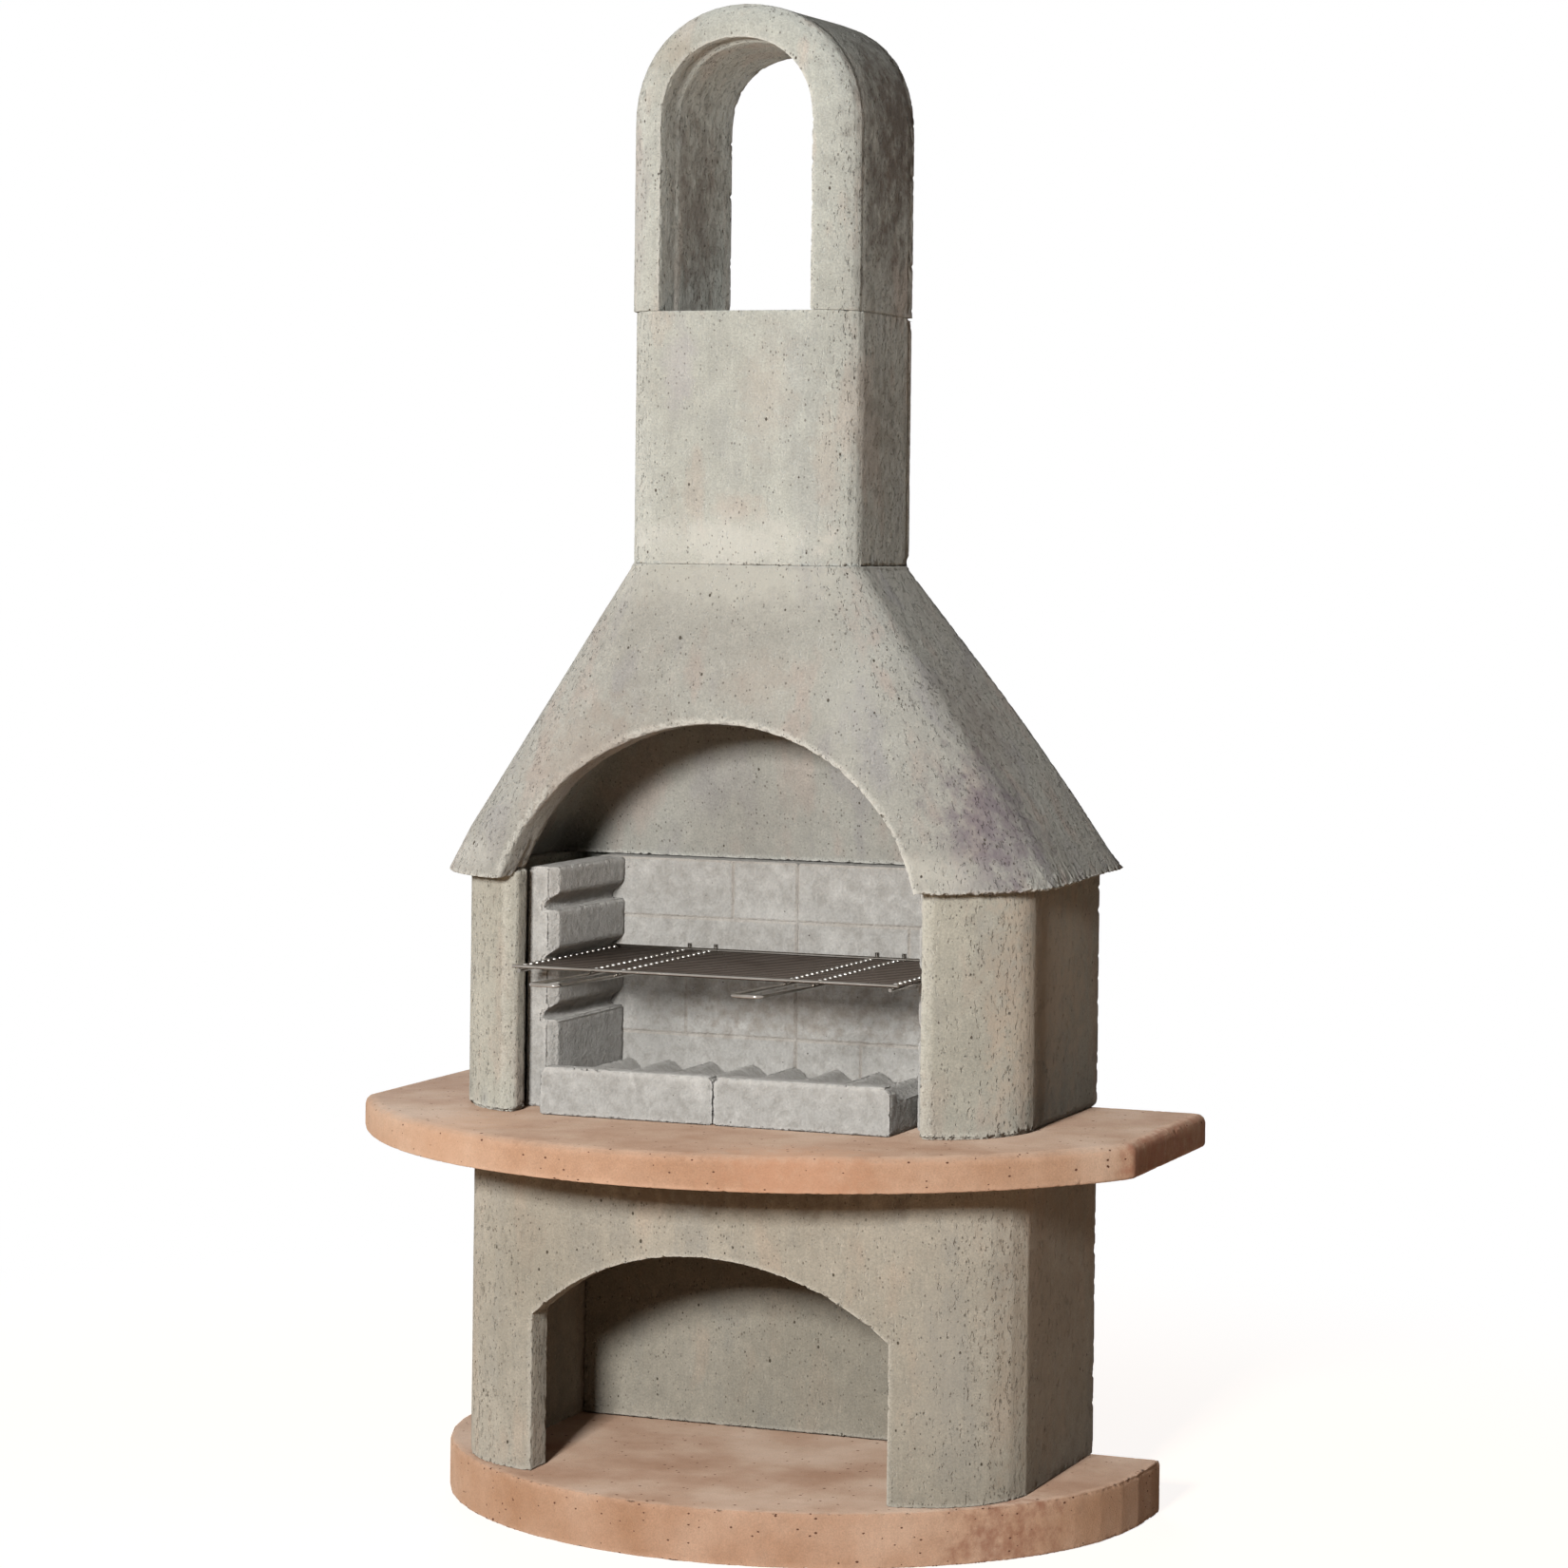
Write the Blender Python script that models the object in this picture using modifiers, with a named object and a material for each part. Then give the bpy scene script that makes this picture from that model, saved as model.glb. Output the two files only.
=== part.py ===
"""Outdoor masonry barbecue with a hood, a chimney and a wire grate that slides in brick grooves.

Metres, +Z up, front towards -Y. The origin is on the ground under the middle of the worktop.
"""

import math

import bmesh
import bpy
from mathutils import Matrix, Vector

# Fits that several pieces share
GAP = 0.0003
OVERRUN = 0.03

# Plan that the plinth and the firebox walls share, which the other pieces follow
WALL_HALF_WIDTH = 0.394
WALL_DEPTH = 0.452
WALL_BOW = 0.081
WALL_CORNER = 0.17

# Base plate, with a half-round front
BASE_SIDE_OVERHANG = 0.0885
BASE_STRAIGHT_SIDE = 0.045
BASE_THICKNESS = 0.0705
BASE_SIDE_CORNER = 0.03

# Plinth with the arched fuel store
PLINTH_HEIGHT = 0.4252
PLINTH_WALL = 0.05
STORE_JAMB_WIDTH = 0.144
STORE_SPRING_HEIGHT = 0.2075
STORE_RISE = 0.097

# Worktop
WORKTOP_SIDE_OVERHANG = 0.154
WORKTOP_FRONT_OVERHANG = 0.218
WORKTOP_BOW = 0.34
WORKTOP_THICKNESS = 0.0453
WORKTOP_SIDE_CORNER = 0.03
WORKTOP_TOP_ROUND = 0.012

# Corners and rims of everything cast in concrete
SLAB_REAR_CORNER = 0.018
SLAB_RIM_ROUND = 0.005
CAST_RIM_ROUND = 0.004

# Firebox walls and their rear panel
FIREBOX_HEIGHT = 0.3221
FIREBOX_WALL = 0.045
FIREBOX_NOSE_WIDTH = 0.114
FIREBOX_NOSE_OUTER_ROUND = 0.010
FIREBOX_NOSE_INNER_ROUND = 0.020
REAR_PANEL_THICKNESS = 0.055

# Firebricks, and the joints moulded in the back ones
LINING_HEADROOM = 0.0011
LINING_CAVITY = 0.0505
BACK_BRICK_THICKNESS = 0.0647
BED_GROOVE_WIDTH = 0.006
UPRIGHT_GROOVE_WIDTH = 0.005
SIDE_BRICK_THICKNESS = 0.0425
SIDE_BRICK_SETBACK = 0.102
SIDE_BRICK_CHAMFER = 0.012
BRICK_ROUND = 0.003

# Shelf grooves in the side bricks
GROOVE_COUNT = 3
GROOVE_FIRST_LEDGE = 0.1165
GROOVE_LAST_LEDGE_DROP = 0.0575
GROOVE_MOUTH = 0.023
GROOVE_ROOT = 0.009
GROOVE_DEPTH = 0.0185

# Ribbed hearth that holds the charcoal
HEARTH_SIDE_CLEARANCE = 0.008
HEARTH_OVERHANG = 0.067
HEARTH_FRONT_HEIGHT = 0.0635
HEARTH_FRONT_THICKNESS = 0.029
HEARTH_RIB_TOP = 0.0445
HEARTH_RIB_DEPTH = 0.017
HEARTH_RIBS = 4
HEARTH_OUTER_CHAMFER = 0.009
HEARTH_JOINT_CHAMFER = 0.004

# Hood
HOOD_SIDE_OVERHANG = 0.037
HOOD_FRONT_OVERHANG = 0.023
HOOD_HEIGHT = 0.4071
HOOD_FRONT_CORNER = 0.09
HOOD_SIDE_WALL = 0.06
HOOD_FRONT_WALL = 0.083
HOOD_REAR_WALL = 0.09
HOOD_INNER_CORNER = 0.025
HOOD_ARCH_JAMB_SETBACK = 0.012
HOOD_ARCH_RISE = 0.1995
HOOD_ARCH_ROUND = 0.011

# Chimney section and cap
CHIMNEY_HALF_WIDTH = 0.16
CHIMNEY_DEPTH = 0.25
CHIMNEY_SETBACK = 0.124
CHIMNEY_HEIGHT = 0.3333
CHIMNEY_FRONT_CORNER = 0.062
CHIMNEY_WALL = 0.05
FLUE_CORNER = 0.012
CAP_HEIGHT = 0.4047
CAP_LEG = 0.053
CAP_CROWN = 0.047

# Wire grate
GRATE_SIDE_GRIP = 0.014
GRATE_OVERHANG = 0.104
GRATE_REAR_CLEARANCE = 0.0015
FRAME_WIRE = 0.005
BAR_WIRE = 0.0032
BAR_COUNT = 17
SIDE_ROD_INSET = 0.010
HANDLE_WIDTH = 0.039
HANDLE_REACH = 0.190
HANDLE_RISE = 0.004
HANDLE_CORNER = 0.009
HOOK_HEIGHT = 0.013

# How far out each handle stands, as a share of the grate's half width
HANDLE_PLACE_SHARE = 0.51

# Smoothness of round shapes, in steps
BOW_STEPS = 14
CORNER_STEPS = 6
SMALL_CORNER_STEPS = 3
ARCH_STEPS = 24
RIB_STEPS = 6
BEND_STEPS = 4
WIRE_RESOLUTION = 2

# An edge that turns by more than the first of these is sharp, and by less than the second is flat
SHARP_TURN = math.radians(40)
FLAT_TURN = math.radians(0.05)

# Each course of a back brick, from the top: its upright joint as a share of the brick's width
COURSE_JOINT_SHARES = (0.318, 0.88, 0.546, 0)

# Widths and depths that follow the walls, and the plane that all the rear faces share
WORKTOP_HALF_WIDTH = WALL_HALF_WIDTH + WORKTOP_SIDE_OVERHANG
WORKTOP_DEPTH = WALL_DEPTH + WORKTOP_FRONT_OVERHANG
REAR = WORKTOP_DEPTH / 2
BASE_HALF_WIDTH = WALL_HALF_WIDTH + BASE_SIDE_OVERHANG
STORE_HALF_SPAN = WALL_HALF_WIDTH - STORE_JAMB_WIDTH
FIREBOX_MOUTH_HALF = WALL_HALF_WIDTH - FIREBOX_NOSE_WIDTH
HOOD_HALF_WIDTH = WALL_HALF_WIDTH + HOOD_SIDE_OVERHANG
HOOD_DEPTH = WALL_DEPTH + HOOD_FRONT_OVERHANG
HOOD_ARCH_HALF_SPAN = FIREBOX_MOUTH_HALF + HOOD_ARCH_JAMB_SETBACK
CHIMNEY_FRONT = CHIMNEY_SETBACK + CHIMNEY_DEPTH

# Heights of the stack
LINING_HEIGHT = FIREBOX_HEIGHT - LINING_HEADROOM
PLINTH_BOTTOM = BASE_THICKNESS + GAP
PLINTH_TOP = PLINTH_BOTTOM + PLINTH_HEIGHT
WORKTOP_BOTTOM = PLINTH_TOP + GAP
WORKTOP_TOP = WORKTOP_BOTTOM + WORKTOP_THICKNESS
FIREBOX_BOTTOM = WORKTOP_TOP + GAP
FIREBOX_TOP = FIREBOX_BOTTOM + FIREBOX_HEIGHT
LINING_TOP = FIREBOX_BOTTOM + LINING_HEIGHT
HOOD_BOTTOM = FIREBOX_TOP + GAP
HOOD_TOP = HOOD_BOTTOM + HOOD_HEIGHT
CHIMNEY_BOTTOM = HOOD_TOP + GAP
CHIMNEY_TOP = CHIMNEY_BOTTOM + CHIMNEY_HEIGHT
CAP_BOTTOM = CHIMNEY_TOP + GAP
CAP_TOP = CAP_BOTTOM + CAP_HEIGHT

# Where the firebrick lining stands, counted forwards from the rear plane and outwards from the middle
BACK_BRICK_REAR = REAR_PANEL_THICKNESS + GAP
BACK_BRICK_FACE = BACK_BRICK_REAR + BACK_BRICK_THICKNESS
LINING_REAR = BACK_BRICK_FACE + GAP
SIDE_BRICK_FRONT = WALL_DEPTH - SIDE_BRICK_SETBACK
SIDE_BRICK_OUTER = WALL_HALF_WIDTH - FIREBOX_WALL - LINING_CAVITY
SIDE_BRICK_INNER = SIDE_BRICK_OUTER - SIDE_BRICK_THICKNESS
HEARTH_HALF_WIDTH = SIDE_BRICK_INNER - HEARTH_SIDE_CLEARANCE
HEARTH_FRONT = SIDE_BRICK_FRONT + HEARTH_OVERHANG
GROOVE_PITCH = (LINING_HEIGHT - GROOVE_FIRST_LEDGE - GROOVE_LAST_LEDGE_DROP) / (GROOVE_COUNT - 1)

# Where the grate lies: on the second ledge from below
FRAME_RADIUS = FRAME_WIRE / 2
BAR_RADIUS = BAR_WIRE / 2
GRATE_HALF_WIDTH = SIDE_BRICK_INNER + GRATE_SIDE_GRIP
HANDLE_PLACE = HANDLE_PLACE_SHARE * GRATE_HALF_WIDTH
LEDGE_HEIGHT = FIREBOX_BOTTOM + GROOVE_FIRST_LEDGE + GROOVE_PITCH
ROD_LEVEL = LEDGE_HEIGHT + GAP + FRAME_RADIUS
CROSS_ROD_LIFT = FRAME_WIRE + GAP
BAR_LIFT = FRAME_RADIUS + GAP + BAR_RADIUS
HOOK_PLACE = BACK_BRICK_FACE + GRATE_REAR_CLEARANCE + FRAME_RADIUS
REAR_ROD_PLACE = HOOK_PLACE + CROSS_ROD_LIFT
FRONT_ROD_PLACE = SIDE_BRICK_FRONT + GRATE_OVERHANG

# The viewer's left and right, as signs of X
SIDES = (("left", -1), ("right", 1))

# Linear colours of the finishes
GREY_CONCRETE = (0.47, 0.45, 0.40)
GREENISH_CONCRETE = (0.43, 0.42, 0.37)
TERRACOTTA_CONCRETE = (0.60, 0.36, 0.24)
PALE_FIREBRICK = (0.52, 0.50, 0.46)
CHROMED_WIRE = (0.60, 0.60, 0.60)


def clear_scene():
    for thing in list(bpy.data.objects):
        bpy.data.objects.remove(thing, do_unlink=True)


def new_collection(name):
    group = bpy.data.collections.new(name)
    bpy.context.scene.collection.children.link(group)
    return group


clear_scene()
barbecue = new_collection("masonry_barbecue")
cutters = new_collection("cutters")


def forward(distance):
    """The Y of a place this far in front of the rear plane."""
    return REAR - distance


def dress(piece, colour, roughness=0.9, metallic=0.0):
    """Gives a sub-part a material of its own, named after it."""
    made = bpy.data.materials.new(piece.name)
    made.use_nodes = True
    shader = made.node_tree.nodes["Principled BSDF"]
    shader.inputs["Base Color"].default_value = (*colour, 1)
    shader.inputs["Roughness"].default_value = roughness
    shader.inputs["Metallic"].default_value = metallic
    made.diffuse_color = (*colour, 1)
    piece.data.materials.append(made)


def shade(piece):
    piece.data.shade_smooth()
    piece.data.set_sharp_from_angle(angle=SHARP_TURN)


# Outlines, as lists of points

def arc(centre, radius, start, end, steps):
    """Points on a circular arc from one angle to another, both ends included."""
    angles = (start + (end - start) * step / steps for step in range(steps + 1))
    return [(centre[0] + radius * math.cos(a), centre[1] + radius * math.sin(a)) for a in angles]


def segment_radius(half_span, rise):
    """Radius of the circle through an arch's two springings and its crown."""
    return (half_span**2 + rise**2) / (2 * rise)


def across(half):
    """Both halves of an outline whose right half starts in the middle plane."""
    return [(-x, y) for x, y in reversed(half[1:])] + half


def soften(ring, corner, radius, steps=SMALL_CORNER_STEPS):
    """Replaces one corner point of a closed ring by an arc tangent to its two sides."""
    here = Vector(ring[corner])
    before = (Vector(ring[corner - 1]) - here).normalized()
    after = (Vector(ring[(corner + 1) % len(ring)]) - here).normalized()
    half_angle = before.angle(after) / 2
    centre = here + (before + after).normalized() * radius / math.sin(half_angle)
    first = here + before * radius / math.tan(half_angle) - centre
    last = here + after * radius / math.tan(half_angle) - centre
    turn = first.angle_signed(last)
    points = [centre + Matrix.Rotation(-turn * step / steps, 2) @ first for step in range(steps + 1)]
    return ring[:corner] + [tuple(point) for point in points] + ring[corner + 1:]


def bowed_side(half_width, depth, bow_radius, corner):
    """Right half of a bow-fronted plan, from the middle of the front to its straight side."""
    bow_centre = (0, forward(depth) + bow_radius)
    reach = half_width - corner
    drop = math.sqrt(max((bow_radius - corner) ** 2 - reach**2, 0))
    meet = -math.atan2(drop, reach)
    bow = arc(bow_centre, bow_radius, -math.pi / 2, meet, BOW_STEPS)
    if meet < 0:
        bow += arc((reach, bow_centre[1] - drop), corner, meet, 0, CORNER_STEPS)[1:]
    return bow


def slab_plan(half_width, depth, bow_radius, corner):
    """Closed bow-fronted plan with small round rear corners."""
    half = bowed_side(half_width, depth, bow_radius, corner)
    rear_centre = (half_width - SLAB_REAR_CORNER, REAR - SLAB_REAR_CORNER)
    return across(half + arc(rear_centre, SLAB_REAR_CORNER, 0, math.pi / 2, SMALL_CORNER_STEPS))


def wall_side(inset):
    """Right half of the plan that plinth and firebox share, moved inwards by a wall's thickness."""
    bow_radius = segment_radius(WALL_HALF_WIDTH, WALL_BOW) - inset
    half_width = WALL_HALF_WIDTH - inset
    return bowed_side(half_width, WALL_DEPTH - inset, bow_radius, WALL_CORNER - inset) + [(half_width, REAR)]


def box_plan(half_width, front, rear, front_corner, rear_corner):
    """Closed rectangular plan with two sizes of round corner, its ends counted forwards from the rear."""
    front_centre = (half_width - front_corner, forward(front - front_corner))
    rear_centre = (half_width - rear_corner, forward(rear + rear_corner))
    right = arc(front_centre, front_corner, -math.pi / 2, 0, CORNER_STEPS)
    right += arc(rear_centre, rear_corner, 0, math.pi / 2, SMALL_CORNER_STEPS)
    return [(-x, y) for x, y in reversed(right)] + right


def arch_outline(half_span, bottom, spring, rise):
    """Closed upright outline with straight jambs and an arch that is part of a circle."""
    radius = segment_radius(half_span, rise)
    centre = (0, spring + rise - radius)
    start = math.atan2(spring - centre[1], half_span)
    return [(-half_span, bottom), (half_span, bottom)] + arc(
        centre, radius, start, math.pi - start, ARCH_STEPS
    )


# Solids

AXIS_TURN = {"X": (math.pi / 2, 0, math.pi / 2), "Y": (math.pi / 2, 0, 0), "Z": (0, 0, 0)}


def add_mesh(name, shape, group):
    mesh = bpy.data.meshes.new(name)
    shape.to_mesh(mesh)
    shape.free()
    piece = bpy.data.objects.new(name, mesh)
    group.objects.link(piece)
    return piece


def prism(name, rings, axis, start, end, group=barbecue):
    """A flat outline, with any further rings as holes, extruded along one axis."""
    curve = bpy.data.curves.new(name, "CURVE")
    curve.dimensions = "2D"
    curve.fill_mode = "BOTH"
    curve.extrude = abs(end - start) / 2
    for ring in rings:
        spline = curve.splines.new("POLY")
        spline.points.add(len(ring) - 1)
        for point, (u, v) in zip(spline.points, ring):
            point.co = (u, v, 0, 1)
        spline.use_cyclic_u = True
    flat = bpy.data.objects.new(name, curve)
    group.objects.link(flat)
    graph = bpy.context.evaluated_depsgraph_get()
    shape = bmesh.new()
    shape.from_mesh(bpy.data.meshes.new_from_object(flat.evaluated_get(graph)))
    bpy.data.objects.remove(flat, do_unlink=True)
    bmesh.ops.remove_doubles(shape, verts=shape.verts, dist=GAP / 10)
    bmesh.ops.dissolve_limit(shape, angle_limit=FLAT_TURN, verts=shape.verts, edges=shape.edges)
    bmesh.ops.recalc_face_normals(shape, faces=shape.faces)
    piece = add_mesh(name, shape, group)
    piece.rotation_euler = AXIS_TURN[axis]
    piece.location = [(start + end) / 2 if letter == axis else 0 for letter in "XYZ"]
    return piece


def loft(name, lower, upper, group=barbecue):
    """A closed solid between two rings of as many points."""
    shape = bmesh.new()
    low, high = ([shape.verts.new(point) for point in ring] for ring in (lower, upper))
    for index in range(len(low)):
        shape.faces.new((low[index - 1], low[index], high[index], high[index - 1]))
    shape.faces.new(low)
    shape.faces.new(high)
    bmesh.ops.recalc_face_normals(shape, faces=shape.faces)
    return add_mesh(name, shape, group)


def block(name, low, high, group=barbecue):
    """A rectangular block between two opposite corners."""
    size = Vector(high) - Vector(low)
    shape = bmesh.new()
    bmesh.ops.create_cube(shape, size=1, matrix=Matrix.Diagonal((*size, 1)))
    piece = add_mesh(name, shape, group)
    piece.location = Vector(low) + size / 2
    return piece


def cut(piece, tool):
    """Takes a closed tool out of the piece."""
    tool.hide_render = True
    tool.display_type = "WIRE"
    boolean = piece.modifiers.new("Cut " + tool.name, "BOOLEAN")
    boolean.operation = "DIFFERENCE"
    boolean.solver = "EXACT"
    boolean.object = tool


def round_rims(piece, front_radius, back_radius, steps):
    """Rounds the rims at the two ends of a prism, front or top first."""
    largest = max(front_radius, back_radius)
    shape = bmesh.new()
    shape.from_mesh(piece.data)
    weight = shape.edges.layers.float.new("bevel_weight_edge")
    for edge in shape.edges:
        first, second = (vert.co.z for vert in edge.verts)
        if first * second > 0 and edge.calc_face_angle() > SHARP_TURN:
            edge[weight] = (front_radius if first > 0 else back_radius) / largest
    shape.to_mesh(piece.data)
    shape.free()
    bevel = piece.modifiers.new("Rounded rims", "BEVEL")
    bevel.limit_method = "WEIGHT"
    bevel.width = largest
    bevel.segments = steps


def round_edges(piece, radius, steps=2):
    """Rounds every sharp edge."""
    bevel = piece.modifiers.new("Rounded edges", "BEVEL")
    bevel.limit_method = "ANGLE"
    bevel.angle_limit = SHARP_TURN
    bevel.width = radius
    bevel.segments = steps


# Sub-parts

def build_base_plate():
    """A slab whose front is a half circle."""
    depth = BASE_HALF_WIDTH + BASE_STRAIGHT_SIDE
    plan = slab_plan(BASE_HALF_WIDTH, depth, BASE_HALF_WIDTH, BASE_SIDE_CORNER)
    plate = prism("base_plate", [plan], "Z", 0, BASE_THICKNESS)
    round_rims(plate, SLAB_RIM_ROUND, SLAB_RIM_ROUND / 2, 2)
    shade(plate)
    dress(plate, TERRACOTTA_CONCRETE)


def build_worktop():
    """A slab with straight sides and a wide bow front, rounded over along its top."""
    bow_radius = segment_radius(WORKTOP_HALF_WIDTH, WORKTOP_BOW)
    plan = slab_plan(WORKTOP_HALF_WIDTH, WORKTOP_DEPTH, bow_radius, WORKTOP_SIDE_CORNER)
    slab = prism("worktop", [plan], "Z", WORKTOP_BOTTOM, WORKTOP_TOP)
    round_rims(slab, WORKTOP_TOP_ROUND, SLAB_RIM_ROUND, 3)
    shade(slab)
    dress(slab, TERRACOTTA_CONCRETE)


def build_plinth():
    """A bowed shell, open at the rear, with an arched mouth, and the panel that closes its rear."""
    plan = across(wall_side(0)) + across(wall_side(PLINTH_WALL))[::-1]
    shell = prism("plinth_shell", [plan], "Z", PLINTH_BOTTOM, PLINTH_TOP)
    spring = PLINTH_BOTTOM + STORE_SPRING_HEIGHT
    mouth = arch_outline(STORE_HALF_SPAN, PLINTH_BOTTOM - OVERRUN, spring, STORE_RISE)
    behind = WALL_DEPTH - WALL_BOW - PLINTH_WALL - OVERRUN
    cut(shell, prism("store_mouth", [mouth], "Y", forward(WALL_DEPTH + OVERRUN), forward(behind), cutters))
    round_edges(shell, CAST_RIM_ROUND)
    shade(shell)
    dress(shell, GREENISH_CONCRETE)

    inside = WALL_HALF_WIDTH - PLINTH_WALL - GAP
    low = (-inside, forward(PLINTH_WALL), PLINTH_BOTTOM)
    panel = block("plinth_rear_panel", low, (inside, REAR, PLINTH_TOP))
    round_edges(panel, CAST_RIM_ROUND)
    dress(panel, GREENISH_CONCRETE)


def build_firebox():
    """Two J-shaped walls whose round noses turn inwards, and a panel between their rear ends."""
    centre = (WALL_HALF_WIDTH - WALL_CORNER, wall_side(0)[-2][1])
    inner_radius = WALL_CORNER - FIREBOX_WALL
    outer_turn, inner_turn = (math.acos((FIREBOX_MOUTH_HALF - centre[0]) / radius)
                              for radius in (WALL_CORNER, inner_radius))
    for name, side in SIDES:
        plan = arc(centre, WALL_CORNER, -outer_turn, 0, 2 * CORNER_STEPS)
        plan += [(WALL_HALF_WIDTH, REAR), (WALL_HALF_WIDTH - FIREBOX_WALL, REAR)]
        plan += arc(centre, inner_radius, 0, -inner_turn, CORNER_STEPS)
        plan = soften(plan, len(plan) - 1, FIREBOX_NOSE_INNER_ROUND)
        plan = soften(plan, 0, FIREBOX_NOSE_OUTER_ROUND)
        plan = [(side * x, y) for x, y in plan]
        wall = prism("firebox_wall_" + name, [plan], "Z", FIREBOX_BOTTOM, FIREBOX_TOP)
        round_rims(wall, CAST_RIM_ROUND, CAST_RIM_ROUND, 1)
        shade(wall)
        dress(wall, GREY_CONCRETE)

    inside = WALL_HALF_WIDTH - FIREBOX_WALL - GAP
    low = (-inside, forward(REAR_PANEL_THICKNESS), FIREBOX_BOTTOM)
    panel = block("firebox_rear_panel", low, (inside, REAR, FIREBOX_TOP))
    round_edges(panel, CAST_RIM_ROUND)
    dress(panel, GREY_CONCRETE)


def build_back_bricks():
    """Two firebricks moulded as courses; the right one is the left one turned upside down."""
    face = forward(BACK_BRICK_FACE)
    courses = len(COURSE_JOINT_SHARES)
    course = LINING_HEIGHT / courses
    for (name, side), shares in zip(SIDES, (COURSE_JOINT_SHARES, COURSE_JOINT_SHARES[::-1])):
        ends = sorted((side * GAP / 2, side * SIDE_BRICK_OUTER))
        brick = block("back_brick_" + name, (ends[0], face, FIREBOX_BOTTOM),
                      (ends[1], forward(BACK_BRICK_REAR), LINING_TOP))
        round_edges(brick, BRICK_ROUND, 1)
        for row, share in enumerate(shares):
            top = LINING_TOP - row * course
            if row:
                ring = [(face - v, top + u) for u, v in groove_ring(BED_GROOVE_WIDTH)]
                cut(brick, prism(f"bed_joint_{name}_{row}", [ring], "X",
                                 ends[0] - OVERRUN, ends[1] + OVERRUN, cutters))
            if share:
                middle = side * share * SIDE_BRICK_OUTER
                ring = [(middle + u, face - v) for u, v in groove_ring(UPRIGHT_GROOVE_WIDTH)]
                low = top - course - OVERRUN * (row == courses - 1)
                cut(brick, prism(f"upright_joint_{name}_{row}", [ring], "Z",
                                 low, top + OVERRUN * (row == 0), cutters))
        dress(brick, PALE_FIREBRICK)


def groove_ring(width):
    """A V groove half as deep as it is wide, as steps along the face and out from it."""
    depth = width / 2
    out = 2 * depth
    return [(0, -depth), (depth + out, out), (-depth - out, out)]


def build_side_bricks():
    """Two firebricks with a ladder of shelf grooves, each with a level ledge under a sloping roof."""
    face, root = SIDE_BRICK_INNER, SIDE_BRICK_INNER + GROOVE_DEPTH
    profile = [(face, FIREBOX_BOTTOM)]
    for groove in range(GROOVE_COUNT):
        ledge = FIREBOX_BOTTOM + GROOVE_FIRST_LEDGE + groove * GROOVE_PITCH
        profile += [(face, ledge), (root, ledge), (root, ledge + GROOVE_ROOT), (face, ledge + GROOVE_MOUTH)]
    profile += [(face, LINING_TOP), (SIDE_BRICK_OUTER, LINING_TOP), (SIDE_BRICK_OUTER, FIREBOX_BOTTOM)]
    front = forward(SIDE_BRICK_FRONT)
    corner = (face - OVERRUN, front - OVERRUN)
    wedge = [corner, (face + SIDE_BRICK_CHAMFER + OVERRUN, corner[1]),
             (corner[0], front + SIDE_BRICK_CHAMFER + OVERRUN)]
    for name, side in SIDES:
        brick = prism("side_brick_" + name, [[(side * x, z) for x, z in profile]], "Y",
                      front, forward(LINING_REAR))
        round_edges(brick, BRICK_ROUND, 1)
        cut(brick, prism("front_chamfer_" + name, [[(side * x, y) for x, y in wedge]], "Z",
                         FIREBOX_BOTTOM - OVERRUN, LINING_TOP + OVERRUN, cutters))
        dress(brick, PALE_FIREBRICK)


def build_hearth():
    """Two bricks with a front wall and ribs that run back from it, so that ash and air pass between."""
    front_top = FIREBOX_BOTTOM + HEARTH_FRONT_HEIGHT
    steps = HEARTH_RIBS * RIB_STEPS
    hollows = []
    for step in range(-1, steps + 2):
        drop = HEARTH_RIB_DEPTH * (1 - math.cos(2 * math.pi * step / RIB_STEPS)) / 2
        hollows.append((HEARTH_HALF_WIDTH * step / steps, FIREBOX_BOTTOM + HEARTH_RIB_TOP - drop))
    above = front_top + OVERRUN
    hollows += [(hollows[-1][0], above), (hollows[0][0], above)]
    for name, side in SIDES:
        ends = sorted((side * GAP / 2, side * HEARTH_HALF_WIDTH))
        brick = block("hearth_brick_" + name, (ends[0], forward(HEARTH_FRONT), FIREBOX_BOTTOM),
                      (ends[1], forward(LINING_REAR), front_top))
        round_edges(brick, BRICK_ROUND)
        cut(brick, prism("ribs_" + name, [[(side * x, z) for x, z in hollows]], "Y",
                         forward(HEARTH_FRONT - HEARTH_FRONT_THICKNESS), forward(LINING_REAR - OVERRUN), cutters))
        for end, inwards, chamfer in ((HEARTH_HALF_WIDTH, -1, HEARTH_OUTER_CHAMFER),
                                      (GAP / 2, 1, HEARTH_JOINT_CHAMFER)):
            out = end - inwards * OVERRUN
            wedge = [(out, front_top - chamfer - OVERRUN), (out, above),
                     (end + inwards * (chamfer + OVERRUN), above)]
            cut(brick, prism(f"top_chamfer_{name}_{len(brick.modifiers)}", [[(side * x, z) for x, z in wedge]],
                             "Y", forward(HEARTH_FRONT + OVERRUN),
                             forward(HEARTH_FRONT - HEARTH_FRONT_THICKNESS - OVERRUN), cutters))
        dress(brick, PALE_FIREBRICK)


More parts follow.
